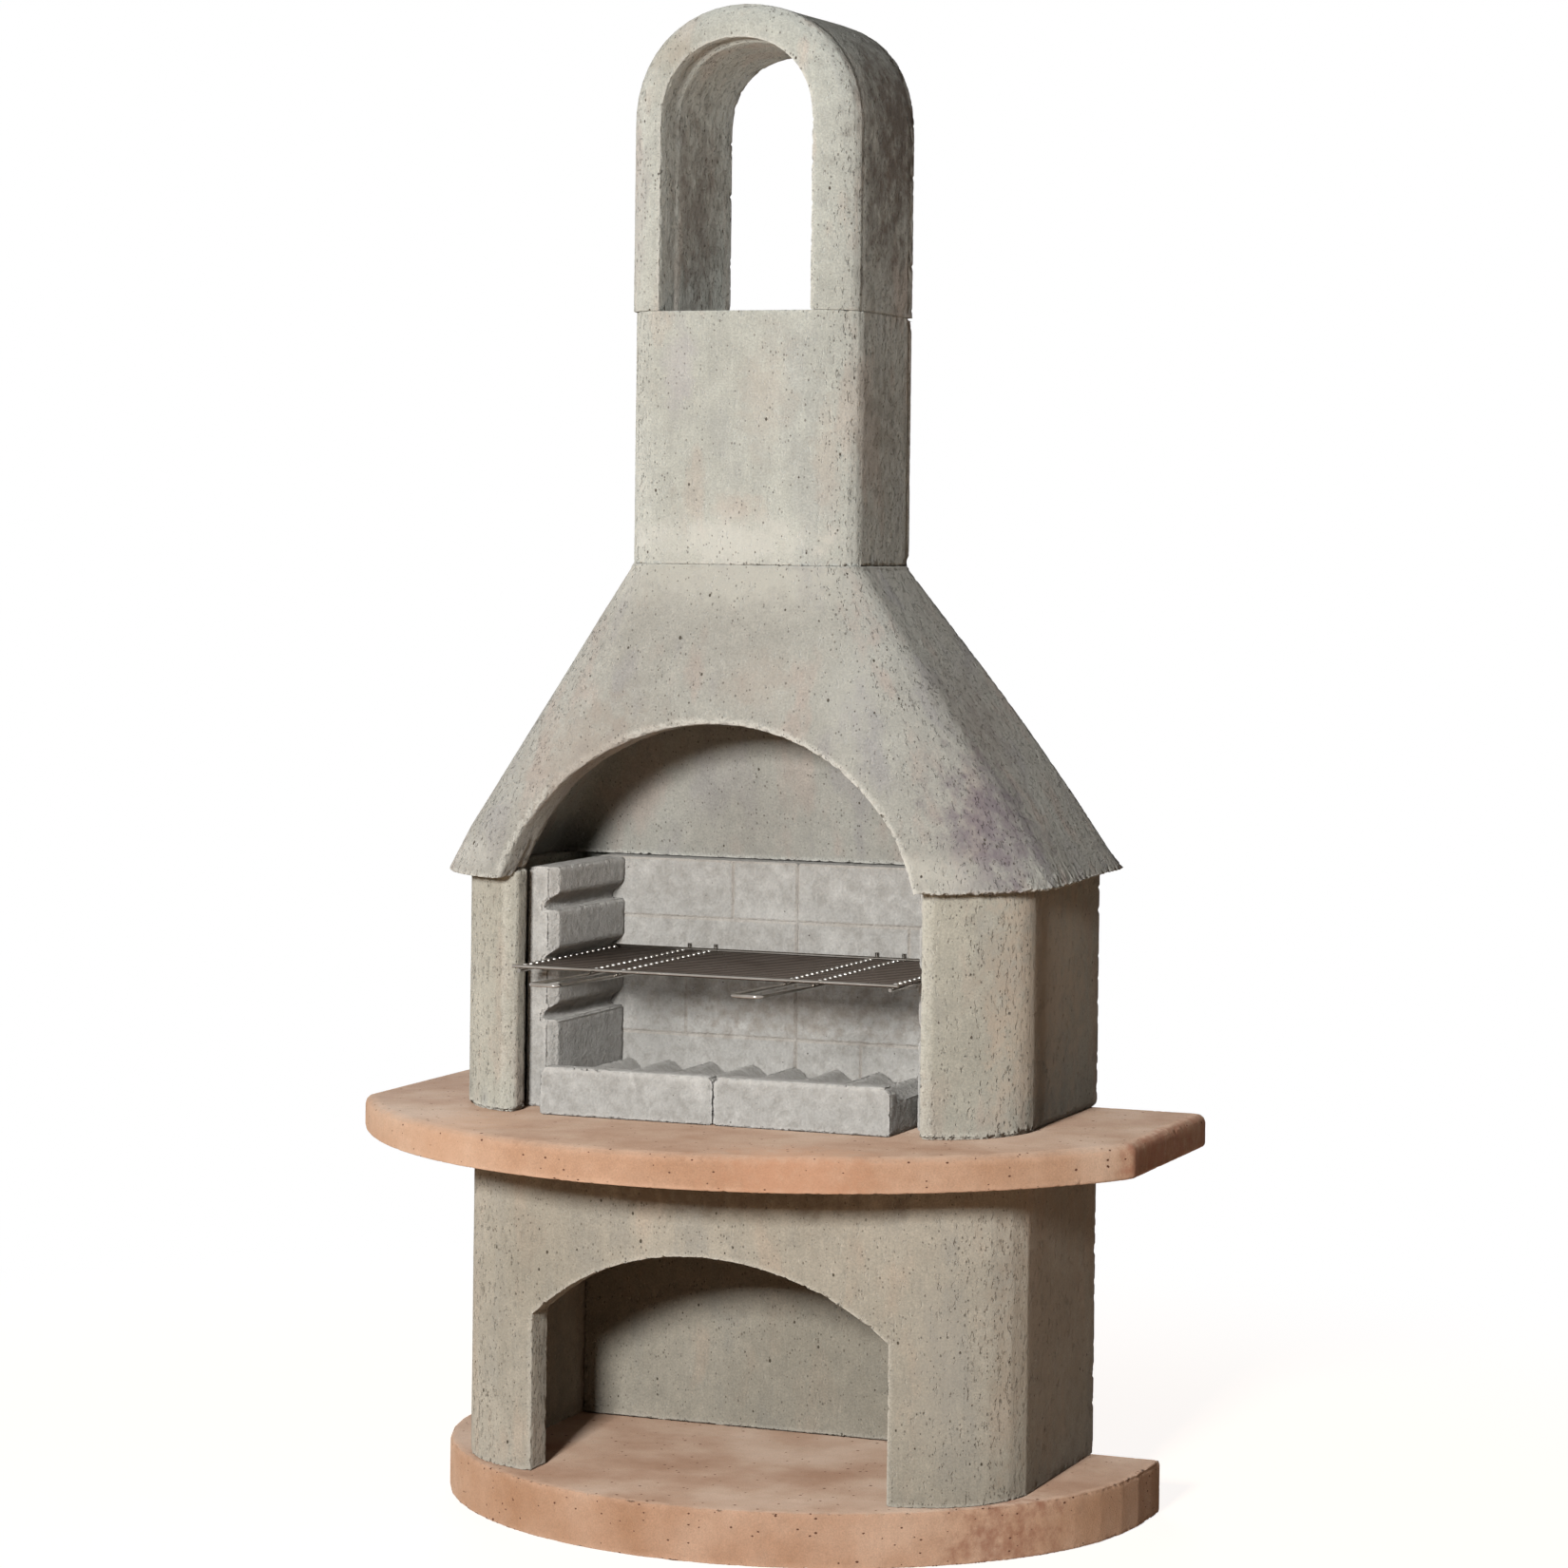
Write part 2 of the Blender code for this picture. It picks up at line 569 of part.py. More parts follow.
def build_hood():
    """A hollow tapering hood on a rectangular plan, with an arched mouth in its sloping front."""
    low = box_plan(HOOD_HALF_WIDTH, HOOD_DEPTH, 0, HOOD_FRONT_CORNER, SLAB_REAR_CORNER)
    high = box_plan(CHIMNEY_HALF_WIDTH, CHIMNEY_FRONT, CHIMNEY_SETBACK,
                    CHIMNEY_FRONT_CORNER, SLAB_REAR_CORNER)
    hood = loft("hood", *overrun_rings(low, high))
    low = box_plan(HOOD_HALF_WIDTH - HOOD_SIDE_WALL, HOOD_DEPTH - HOOD_FRONT_WALL, HOOD_REAR_WALL,
                   HOOD_INNER_CORNER, HOOD_INNER_CORNER)
    cut(hood, loft("smoke_chamber", *overrun_rings(low, flue_plan(), 2), cutters))
    arch = arch_outline(HOOD_ARCH_HALF_SPAN, HOOD_BOTTOM - 2 * OVERRUN, HOOD_BOTTOM, HOOD_ARCH_RISE)
    middle = (CHIMNEY_SETBACK + CHIMNEY_FRONT) / 2
    cut(hood, prism("hood_arch", [arch], "Y", forward(HOOD_DEPTH + 2 * OVERRUN), forward(middle), cutters))
    round_edges(hood, HOOD_ARCH_ROUND, SMALL_CORNER_STEPS)
    reach = HOOD_HALF_WIDTH + 2 * OVERRUN
    for name, bottom, top in (("hood_foot", HOOD_BOTTOM - 2 * OVERRUN, HOOD_BOTTOM),
                              ("hood_neck", HOOD_TOP, HOOD_TOP + 2 * OVERRUN)):
        cut(hood, block(name, (-reach, forward(HOOD_DEPTH + 2 * OVERRUN), bottom),
                        (reach, REAR + 2 * OVERRUN, top), cutters))
    round_edges(hood, CAST_RIM_ROUND, 1)
    shade(hood)
    dress(hood, GREY_CONCRETE)


def overrun_rings(low, high, overruns=1):
    """The hood's two rings, carried on past its bottom and its top along the lines between them."""
    share = overruns * OVERRUN / HOOD_HEIGHT
    low, high = ([Vector((*point, height)) for point in plan]
                 for plan, height in ((low, HOOD_BOTTOM), (high, HOOD_TOP)))
    return ([a.lerp(b, -share) for a, b in zip(low, high)],
            [a.lerp(b, 1 + share) for a, b in zip(low, high)])


def flue_plan():
    return box_plan(CHIMNEY_HALF_WIDTH - CHIMNEY_WALL, CHIMNEY_FRONT - CHIMNEY_WALL,
                    CHIMNEY_SETBACK + CHIMNEY_WALL, FLUE_CORNER, FLUE_CORNER)


def build_chimney():
    """A square pipe on the hood and, on top, an arched cap that is open from front to rear."""
    plan = box_plan(CHIMNEY_HALF_WIDTH, CHIMNEY_FRONT, CHIMNEY_SETBACK,
                    CHIMNEY_FRONT_CORNER, SLAB_REAR_CORNER)
    section = prism("chimney_section", [plan, flue_plan()], "Z", CHIMNEY_BOTTOM, CHIMNEY_TOP)
    round_rims(section, CAST_RIM_ROUND, CAST_RIM_ROUND, 2)
    shade(section)
    dress(section, GREY_CONCRETE)

    below = CAP_BOTTOM - CHIMNEY_FRONT_CORNER - OVERRUN
    outline = arch_outline(CHIMNEY_HALF_WIDTH, below, CAP_TOP - CHIMNEY_HALF_WIDTH, CHIMNEY_HALF_WIDTH)
    cap = prism("chimney_cap", [outline], "Y", forward(CHIMNEY_FRONT), forward(CHIMNEY_SETBACK))
    round_rims(cap, CHIMNEY_FRONT_CORNER, SLAB_REAR_CORNER, CORNER_STEPS)
    half_opening = CHIMNEY_HALF_WIDTH - CAP_LEG
    tunnel = arch_outline(half_opening, below - OVERRUN, CAP_TOP - CAP_CROWN - half_opening, half_opening)
    tunnel_ends = forward(CHIMNEY_FRONT + OVERRUN), forward(CHIMNEY_SETBACK - OVERRUN)
    reach = CHIMNEY_HALF_WIDTH + OVERRUN
    cut(cap, block("cap_seat", (-reach, tunnel_ends[0], below - OVERRUN),
                   (reach, tunnel_ends[1], CAP_BOTTOM), cutters))
    cut(cap, prism("cap_opening", [tunnel], "Y", *tunnel_ends, cutters))
    shade(cap)
    dress(cap, GREY_CONCRETE)


def wire_curve(name, points, radius):
    """Round wire along a line of points."""
    curve = bpy.data.curves.new(name, "CURVE")
    curve.dimensions = "3D"
    curve.bevel_depth = radius
    curve.bevel_resolution = WIRE_RESOLUTION
    curve.use_fill_caps = True
    spline = curve.splines.new("POLY")
    spline.points.add(len(points) - 1)
    for point, place in zip(spline.points, points):
        point.co = (*place, 1)
    return curve


def build_grate():
    """Rods that run front to rear under a row of bars; two of them are bent into handles."""
    slide = bpy.data.objects.new("grate_slide", None)
    slide.location = (0, forward(FRONT_ROD_PLACE), ROD_LEVEL)
    barbecue.objects.link(slide)

    def add(name, curve, place=(0, 0, 0)):
        piece = bpy.data.objects.new(name, curve)
        piece.parent = slide
        piece.location = place
        barbecue.objects.link(piece)
        if not curve.materials:
            dress(piece, CHROMED_WIRE, 0.25, 1.0)

    length = FRONT_ROD_PLACE - REAR_ROD_PLACE
    cross = [(-GRATE_HALF_WIDTH, 0, 0), (GRATE_HALF_WIDTH, 0, 0)]
    add("grate_front_rod", wire_curve("grate_front_rod", cross, FRAME_RADIUS), (0, 0, CROSS_ROD_LIFT))
    add("grate_rear_rod", wire_curve("grate_rear_rod", cross, FRAME_RADIUS), (0, length, CROSS_ROD_LIFT))
    bar = wire_curve("grate_bar", cross, BAR_RADIUS)
    for index in range(BAR_COUNT):
        place = length * (index + 1) / (BAR_COUNT + 1)
        add(f"grate_bar_{index + 1:02d}", bar, (0, place, BAR_LIFT))

    side_rod = [(0, -FRAME_RADIUS, 0), (0, length + FRAME_RADIUS, 0)]
    for name, side in SIDES:
        rod = wire_curve("grate_side_rod_" + name, side_rod, FRAME_RADIUS)
        add("grate_side_rod_" + name, rod, (side * (GRATE_HALF_WIDTH - SIDE_ROD_INSET), 0, 0))
        handle = wire_curve("grate_handle_" + name, handle_path(length), FRAME_RADIUS)
        add("grate_handle_" + name, handle, (side * HANDLE_PLACE, 0, 0))


def handle_path(length):
    """From one upturned rear end, forward under the bars, round the handle and back to the other."""
    bend = CROSS_ROD_LIFT
    leg = HANDLE_WIDTH / 2
    hook = [(leg, length + bend, HOOK_HEIGHT)]
    hook += [(leg, y, z) for y, z in arc((length, bend), bend, 0, -math.pi / 2, BEND_STEPS)]
    tip = -HANDLE_REACH
    start = (leg, -2 * FRAME_WIRE, 0)
    turn = arc((leg - HANDLE_CORNER, tip + HANDLE_CORNER), HANDLE_CORNER, 0, -math.pi / 2, BEND_STEPS)
    side = hook + [start] + [(x, y, HANDLE_RISE) for x, y in turn]
    return side + [(-x, y, z) for x, y, z in reversed(side)]


build_base_plate()
build_plinth()
build_worktop()
build_firebox()
build_back_bricks()
build_side_bricks()
build_hearth()
build_hood()
build_chimney()
build_grate()
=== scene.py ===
import math

import bmesh
import bpy
import numpy as np
from mathutils import Matrix, Vector, noise
from mathutils.bvhtree import BVHTree
from mathutils.kdtree import KDTree


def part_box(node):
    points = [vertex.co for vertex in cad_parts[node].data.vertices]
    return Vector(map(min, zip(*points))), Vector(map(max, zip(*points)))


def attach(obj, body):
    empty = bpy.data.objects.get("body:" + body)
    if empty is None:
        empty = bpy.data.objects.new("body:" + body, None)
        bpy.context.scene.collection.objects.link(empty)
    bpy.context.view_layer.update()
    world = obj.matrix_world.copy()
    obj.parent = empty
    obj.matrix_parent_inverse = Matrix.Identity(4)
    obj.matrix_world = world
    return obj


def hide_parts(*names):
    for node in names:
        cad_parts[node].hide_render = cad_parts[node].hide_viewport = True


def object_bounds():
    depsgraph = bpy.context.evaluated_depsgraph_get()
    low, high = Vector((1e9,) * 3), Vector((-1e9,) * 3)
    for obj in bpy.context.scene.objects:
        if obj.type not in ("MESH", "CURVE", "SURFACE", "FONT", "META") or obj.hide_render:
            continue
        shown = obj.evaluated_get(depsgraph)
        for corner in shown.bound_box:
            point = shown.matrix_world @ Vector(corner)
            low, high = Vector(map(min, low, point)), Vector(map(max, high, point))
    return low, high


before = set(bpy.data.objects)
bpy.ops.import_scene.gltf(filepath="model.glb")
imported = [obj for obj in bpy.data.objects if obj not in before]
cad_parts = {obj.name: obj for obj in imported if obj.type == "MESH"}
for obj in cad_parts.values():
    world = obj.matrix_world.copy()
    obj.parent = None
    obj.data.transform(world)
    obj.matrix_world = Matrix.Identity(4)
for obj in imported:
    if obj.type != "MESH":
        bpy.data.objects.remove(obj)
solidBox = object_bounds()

print("frame loaded:", len(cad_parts), "solids")

millimetre = 0.001
layout = bpy.context.scene.collection


def toLinear(code):  # "C6C3B6" as drawn on screen, to the linear colour a shader takes
    shares = [int(code[i:i + 2], 16) / 255 for i in (0, 2, 4)]
    return (*[s / 12.92 if s <= 0.04045 else ((s + 0.055) / 1.055) ** 2.4 for s in shares], 1)


def addNode(tree, kind, settings=(), links=()):
    node = tree.nodes.new("ShaderNode" + kind)
    for name, value in dict(settings).items():
        if name == "stops":  # a ramp's places and colours
            while len(node.color_ramp.elements) < len(value):
                node.color_ramp.elements.new(1)
            for stop, (place, code) in zip(node.color_ramp.elements, value):
                stop.position, stop.color = place, toLinear(code)
        elif isinstance(name, int) or name in node.inputs:
            node.inputs[name].default_value = value
        else:
            setattr(node, name, value)
    for name, source in dict(links).items():
        tree.links.new(source, node.inputs[name])
    return node


def newMaterial(name):
    material = bpy.data.materials.new(name)
    material.use_nodes = True
    material.node_tree.nodes.clear()
    return material, material.node_tree


# Camera: the photograph's angle, a long lens at chest height, moved down by shift

viewpoint = {
    "place": (2.1374, -5.2256, 1.3109),
    "turn": 21.684,  # degrees round Z, from straight ahead
    "roll": 0.682,
    "lens": 98.32,
    "sensor": 36,
    "shift": -0.15863,
}


def placeCamera():
    data = bpy.data.cameras.new("photoCamera")
    data.lens, data.sensor_width, data.shift_y = viewpoint["lens"], viewpoint["sensor"], viewpoint["shift"]
    data.dof.use_dof = False
    camera = bpy.data.objects.new("photoCamera", data)
    layout.objects.link(camera)
    turn = Matrix.Rotation(math.radians(viewpoint["turn"]), 4, "Z")
    level = Matrix.Rotation(math.radians(90), 4, "X")
    roll = Matrix.Rotation(math.radians(viewpoint["roll"]), 4, "Z")
    camera.matrix_world = Matrix.Translation(viewpoint["place"]) @ turn @ level @ roll
    bpy.context.scene.camera = camera


placeCamera()
bpy.context.scene.view_settings.view_transform = "Standard"
print("camera placed")


# Stage: white paper floor and surroundings, one soft box in front and a weaker one behind

stage = {
    "floorSize": 16,
    "floorDrop": 0.0005,
    "floorColour": "C9AB90",  # warm, as the light that it throws up onto the sides
    "glow": 0.87,  # added to the lit floor for the camera alone: the shadow stays, the rest is white
    "fade": (0.9, 2.3),  # metres from the middle where the paper turns plain white
    "ambient": 0.020,
    "ambientColour": "FFDDC0",
}


def seenDirectly(tree):  # 1 for what the camera, a mirror or a glass shows, 0 for light that falls on something
    path = addNode(tree, "LightPath")
    either = addNode(tree, "Math", {"operation": "MAXIMUM"},
                     {0: path.outputs["Is Camera Ray"], 1: path.outputs["Is Glossy Ray"]})
    return addNode(tree, "Math", {"operation": "MAXIMUM"},
                   {0: either.outputs[0], 1: path.outputs["Is Transmission Ray"]}).outputs[0]


def makeFloor():
    half = stage["floorSize"] / 2
    square = ((-half, -half), (half, -half), (half, half), (-half, half))
    corners = [(x, y, -stage["floorDrop"]) for x, y in square]
    mesh = bpy.data.meshes.new("paperFloor")
    mesh.from_pydata(corners, [], [(0, 1, 2, 3)])
    floor = bpy.data.objects.new("paperFloor", mesh)
    layout.objects.link(floor)
    material, tree = newMaterial("whitePaper")
    seen = seenDirectly(tree)
    glow = addNode(tree, "Math", {"operation": "MULTIPLY", 1: stage["glow"]}, {0: seen})
    paper = addNode(tree, "BsdfDiffuse", {"Color": toLinear(stage["floorColour"])})
    light = addNode(tree, "Emission", {"Color": (1, 1, 1, 1)}, {"Strength": glow.outputs[0]})
    near = addNode(tree, "AddShader", {}, {0: paper.outputs[0], 1: light.outputs[0]})
    distance = addNode(tree, "VectorMath", {"operation": "LENGTH"}, {0: addNode(tree, "TexCoord").outputs["Object"]})
    start, end = stage["fade"]
    far = addNode(tree, "MapRange", {"From Min": start, "From Max": end, "To Min": 0, "To Max": 1,
                                     "interpolation_type": "SMOOTHSTEP"}, {"Value": distance.outputs["Value"]})
    whiten = addNode(tree, "Math", {"operation": "MULTIPLY"}, {0: far.outputs[0], 1: seen})
    white = addNode(tree, "Emission", {"Color": (1, 1, 1, 1), "Strength": 1})
    both = addNode(tree, "MixShader", {}, {0: whiten.outputs[0], 1: near.outputs[0], 2: white.outputs[0]})
    addNode(tree, "OutputMaterial", {}, {"Surface": both.outputs[0]})
    mesh.materials.append(material)


def lightWorld():
    world = bpy.data.worlds.new("studio")
    world.use_nodes = True
    tree = world.node_tree
    tree.nodes.clear()
    seen = addNode(tree, "Background", {"Color": (1, 1, 1, 1), "Strength": 1})
    lit = addNode(tree, "Background", {"Color": toLinear(stage["ambientColour"]), "Strength": stage["ambient"]})
    mix = addNode(tree, "MixShader", {}, {0: seenDirectly(tree), 1: lit.outputs[0], 2: seen.outputs[0]})
    addNode(tree, "OutputWorld", {}, {"Surface": mix.outputs[0]})
    bpy.context.scene.world = world


softBoxes = {
    "keyBox": {"place": (0.48, -4.5, 1.78), "aim": (0, -0.1, 0.9), "size": (0.6, 0.5), "watts": 202},
    "rearBox": {"place": (-2.4, 4.2, 2.2), "aim": (0, 0, 0.9), "size": (2.0, 2.0), "watts": 75},
}
lampColour = "FFFEFC"


def hangSoftBoxes():
    for name, box in softBoxes.items():
        data = bpy.data.lights.new(name, "AREA")
        data.shape, data.energy = "RECTANGLE", box["watts"]
        data.size, data.size_y = box["size"]
        data.color = toLinear(lampColour)[:3]
        lamp = bpy.data.objects.new(name, data)
        layout.objects.link(lamp)
        lamp.location = box["place"]
        lamp.rotation_euler = (Vector(box["aim"]) - Vector(box["place"])).to_track_quat("-Z", "Y").to_euler()


makeFloor()
lightWorld()
hangSoftBoxes()
print("stage and soft boxes ready")


# Materials: first the steps that their node trees share


def pattern(tree, place, size, detail=4, rough=0.55, warp=0.0):  # soft patches of that size in mm
    if isinstance(size, tuple):  # across and upright
        place, scale = stretched(tree, place, size), 1
    else:
        scale = 1 / (size * millimetre)
    return addNode(tree, "TexNoise", {"Scale": scale, "Detail": detail, "Roughness": rough, "Distortion": warp},
                   {"Vector": place}).outputs["Fac"]


def stretched(tree, place, cell):  # coordinates counted in cells that wide and that high
    across, tall = (1 / (size * millimetre) for size in cell)
    return addNode(tree, "Mapping", {"Scale": (across, across, tall)}, {"Vector": place}).outputs[0]


def shaded(tree, colour, *layers):  # the colour times each pattern, drawn between its darkest and its lightest
    for value, (dark, light) in layers:
        level = addNode(tree, "MapRange", {"From Min": 0.25, "From Max": 0.75, "To Min": dark, "To Max": light},
                        {"Value": value})
        colour = addNode(tree, "Mix", {"data_type": "RGBA", "blend_type": "MULTIPLY", 0: 1},
                         {6: colour, 7: level.outputs[0]}).outputs[2]
    return colour


def airHoles(tree, place, kind, crowd=None):  # 1 inside a hole; few cells hold one, and more of them in a crowd
    cells = addNode(tree, "TexVoronoi", {"Scale": 1}, {"Vector": stretched(tree, place, kind["cell"])})
    chance = addNode(tree, "SeparateColor", {}, {0: cells.outputs["Color"]}).outputs[0]
    if crowd is not None:
        chance = addNode(tree, "Math", {"operation": "MULTIPLY_ADD", 1: kind["crowding"]},
                         {0: crowd, 2: chance}).outputs[0]
    least, most = kind["chance"]
    radius = addNode(tree, "MapRange", {"From Min": least, "From Max": most, "To Min": 0, "To Max": kind["widest"]},
                     {"Value": chance})
    inside = addNode(tree, "Math", {"operation": "SUBTRACT"}, {0: radius.outputs[0], 1: cells.outputs["Distance"]})
    return addNode(tree, "MapRange", {"From Min": 0, "From Max": kind["rim"], "To Min": 0, "To Max": 1},
                   {"Value": inside.outputs[0]}).outputs[0]


def rubbedRims(tree, colour, grit, recipe):  # a worn rim shows paler, in crumbs
    wear = addNode(tree, "Attribute", {"attribute_name": "wear"}).outputs["Fac"]
    crumbs = addNode(tree, "Math", {"operation": "MULTIPLY"}, {0: wear, 1: grit})
    start, end, most = recipe["rubbing"]
    share = addNode(tree, "MapRange", {"From Min": start, "From Max": end, "To Min": 0, "To Max": most},
                    {"Value": crumbs.outputs[0]})
    return addNode(tree, "Mix", {"data_type": "RGBA", 7: toLinear(recipe["worn"])},
                   {0: share.outputs[0], 6: colour}).outputs[2]


markRim = {"ragged": 2.2, "fade": (1.2, 2.15)}


def stainsAndPaintedLight(tree, place, cloud, colour, marks):  # single patches, real stains and painted light and shade alike: centre and reach in metres, colour, strength
    start, end = markRim["fade"]
    for centre, reach, code, strength in marks:
        offset = addNode(tree, "VectorMath", {"operation": "SUBTRACT", 1: centre}, {0: place})
        shares = addNode(tree, "VectorMath", {"operation": "DIVIDE", 1: reach}, {0: offset.outputs[0]})
        length = addNode(tree, "VectorMath", {"operation": "LENGTH"}, {0: shares.outputs[0]})
        ragged = addNode(tree, "Math", {"operation": "MULTIPLY_ADD", 1: markRim["ragged"]},
                         {0: cloud, 2: length.outputs["Value"]})
        amount = addNode(tree, "MapRange", {"From Min": start, "From Max": end, "To Min": strength, "To Max": 0,
                                            "interpolation_type": "SMOOTHSTEP"}, {"Value": ragged.outputs[0]})
        colour = addNode(tree, "Mix", {"data_type": "RGBA", 7: toLinear(code)},
                         {0: amount.outputs[0], 6: colour}).outputs[2]
    return colour


def relief(tree, *layers):  # heights in mm, added up
    height = None
    for value, tall in layers:
        below = {} if height is None else {2: height}
        height = addNode(tree, "Math", {"operation": "MULTIPLY_ADD", 1: tall * millimetre, 2: 0},
                         {0: value, **below}).outputs[0]
    return height


porous = {"IOR": 1.5, "Specular IOR Level": 0.2, "Diffuse Roughness": 1}  # its pores swallow most of the sheen
plated = {"Metallic": 1}


def coat(tree, kind, colour, height, dullness, spread, patches):  # roughness between two values, as the patches go
    bump = addNode(tree, "Bump", {"Strength": 1, "Distance": 1}, {"Height": height})
    ends = dict(zip(("From Min", "From Max", "To Min", "To Max"), (*spread, *dullness)))
    rough = addNode(tree, "MapRange", ends, {"Value": patches})
    body = addNode(tree, "BsdfPrincipled", kind,
                   {"Base Color": colour, "Roughness": rough.outputs[0], "Normal": bump.outputs[0]})
    addNode(tree, "OutputMaterial", {}, {"Surface": body.outputs[0]})


# Cast concrete, tamped into a mould and brushed down while damp: dull, with soft clouds of cement
# paste, faint upright brush marks, upright slits where it stuck to the mould, sand grain, and small
# dark air holes that gather in patches. Sizes in mm; the sand is drawn coarse enough to show.
holeHeight = 1 / 0.72  # air holes are taller than wide
greyConcrete = {
    "name": "castGreyConcrete",
    "paste": "CCCEC7", "warm": "CFC9C0", "cool": "C3C5C0", "dark": "B6B5AC", "worn": "DAD9D2", "hole": "655F56",
    "stain": 260, "patch": (60, 170), "cloud": 24, "streak": (4, 70), "slit": (6, 13), "grain": 2.6, "crowd": 45,
    "clouding": (0.88, 1.09), "sanding": (0.80, 1.17), "brushing": (0.96, 1.035),
    "pinhole": {"cell": (3.8, 3.8 * holeHeight), "crowding": 0.55, "chance": (0.84, 1.35), "widest": 0.46, "rim": 0.12},
    "blowhole": {"cell": (12, 12 * holeHeight), "crowding": 0.55, "chance": (0.98, 1.35), "widest": 0.22, "rim": 0.05},
    "pinholeDark": 0.6,
    "relief": {"grain": 0.75, "cloud": 2.2, "slit": -1.9, "streak": 0.35, "hole": -1.6},
    "roughness": (0.80, 0.95), "rubbing": (0.14, 0.5, 0.6),
    "marks": [
        ((-0.075, -0.039, 1.53), (0.03, 0.05, 0.08), "CCC6CB", 0.3),
        ((0.05, -0.039, 1.50), (0.05, 0.05, 0.10), "D2C5B8", 0.25),
        ((0.01, -0.039, 1.345), (0.05, 0.05, 0.03), "D0BCAE", 0.3),
        ((0.13, -0.03, 1.40), (0.022, 0.05, 0.13), "CFC2B6", 0.3),
        ((0.0, -0.039, 1.30), (0.2, 0.1, 0.05), "DEDDD6", 0.6),
        # painted shade on the left-turned face of the cap's left leg
        ((-0.15, -0.03, 1.76), (0.035, 0.06, 0.16), "B9B6B1", 0.7),
        ((-0.10, -0.03, 1.95), (0.05, 0.05, 0.04), "B9B4A6", 0.5),
        ((0.19, 0.14, 1.86), (0.12, 0.17, 0.28), "6A5E54", 0.85),  # soot that runs down from the cap, and painted shade over the cap's right side
        # painted shade on the chimney's right side
        ((0.175, 0.09, 1.45), (0.03, 0.12, 0.16), "8E8478", 0.5),
        # painted shade on the inner face of the cap's left leg
        ((-0.10, 0.09, 1.74), (0.03, 0.12, 0.20), "7F746A", 0.7),
    ],
}
hoodConcrete = dict(  # another batch of the same mix, a shade darker and pinker
    greyConcrete, name="castHoodConcrete",
    paste="BDBDB6", warm="C0B8B0", cool="B3B2B0", dark="A5A199", worn="D2D1CA", hole="5F5A50",
    rubbing=(0.14, 0.5, 0.95),
    marks=[
        ((0.37, -0.03, 0.97), (0.09, 0.15, 0.15), "867A83", 0.75),
        ((0.0, -0.05, 1.26), (0.35, 0.3, 0.07), "D0CFC6", 0.65),
        ((0.33, -0.13, 0.885), (0.12, 0.07, 0.035), "D6D4CB", 0.65),
        ((-0.37, -0.08, 0.885), (0.08, 0.10, 0.035), "CFCDC6", 0.6),
        # painted shade on the left half of the hood's front
        ((-0.17, -0.10, 1.02), (0.14, 0.10, 0.10), "B3A79C", 0.5),
        ((0.06, -0.09, 1.12), (0.07, 0.10, 0.05), "C1B5AA", 0.3),
        ((0.19, -0.10, 1.12), (0.04, 0.10, 0.10), "C4C4BE", 0.5),
        # painted shade on the hood's right side
        ((0.33, 0.1, 1.1), (0.1, 0.12, 0.12), "978D86", 0.5),
    ],
)
greenConcrete = dict(
    greyConcrete, name="castGreenishConcrete",
    paste="BDB7AA", warm="C3B8A9", cool="B3AFA5", dark="A29C8E", worn="CFCBC0", hole="5C564A",
    marks=[
        # painted warm shade on the plinth's right side
        ((0.394, 0.1, 0.28), (0.04, 0.3, 0.25), "B5A592", 0.5),
        # painted shadow of the worktop along the top of the plinth
        ((0.0, -0.12, 0.475), (0.40, 0.10, 0.05), "8E8475", 0.8),
        # painted shade on the plinth's left front
        ((-0.34, -0.11, 0.30), (0.07, 0.08, 0.2), "A8A294", 0.5),
        ((0.32, -0.10, 0.25), (0.06, 0.08, 0.15), "B5AFA4", 0.5),
    ],
)
wallConcrete = dict(
    greyConcrete, name="castWallConcrete",
    paste="C2BFB3", warm="C6BBAE", cool="B8B6AE", dark="A8A498", worn="D6D4CA", hole="605A50",
    marks=[
        ((0.29, -0.13, 0.70), (0.018, 0.05, 0.2), "D9D9D0", 0.6),
        # painted warm bounce light on the right wall's side
        ((0.394, 0.08, 0.72), (0.04, 0.25, 0.25), "D2C4B2", 0.8),
        ((-0.33, -0.12, 0.68), (0.03, 0.05, 0.18), "D2D2C7", 0.5),
        ((0.37, -0.02, 0.75), (0.03, 0.06, 0.10), "B2A596", 0.5),
    ],
)


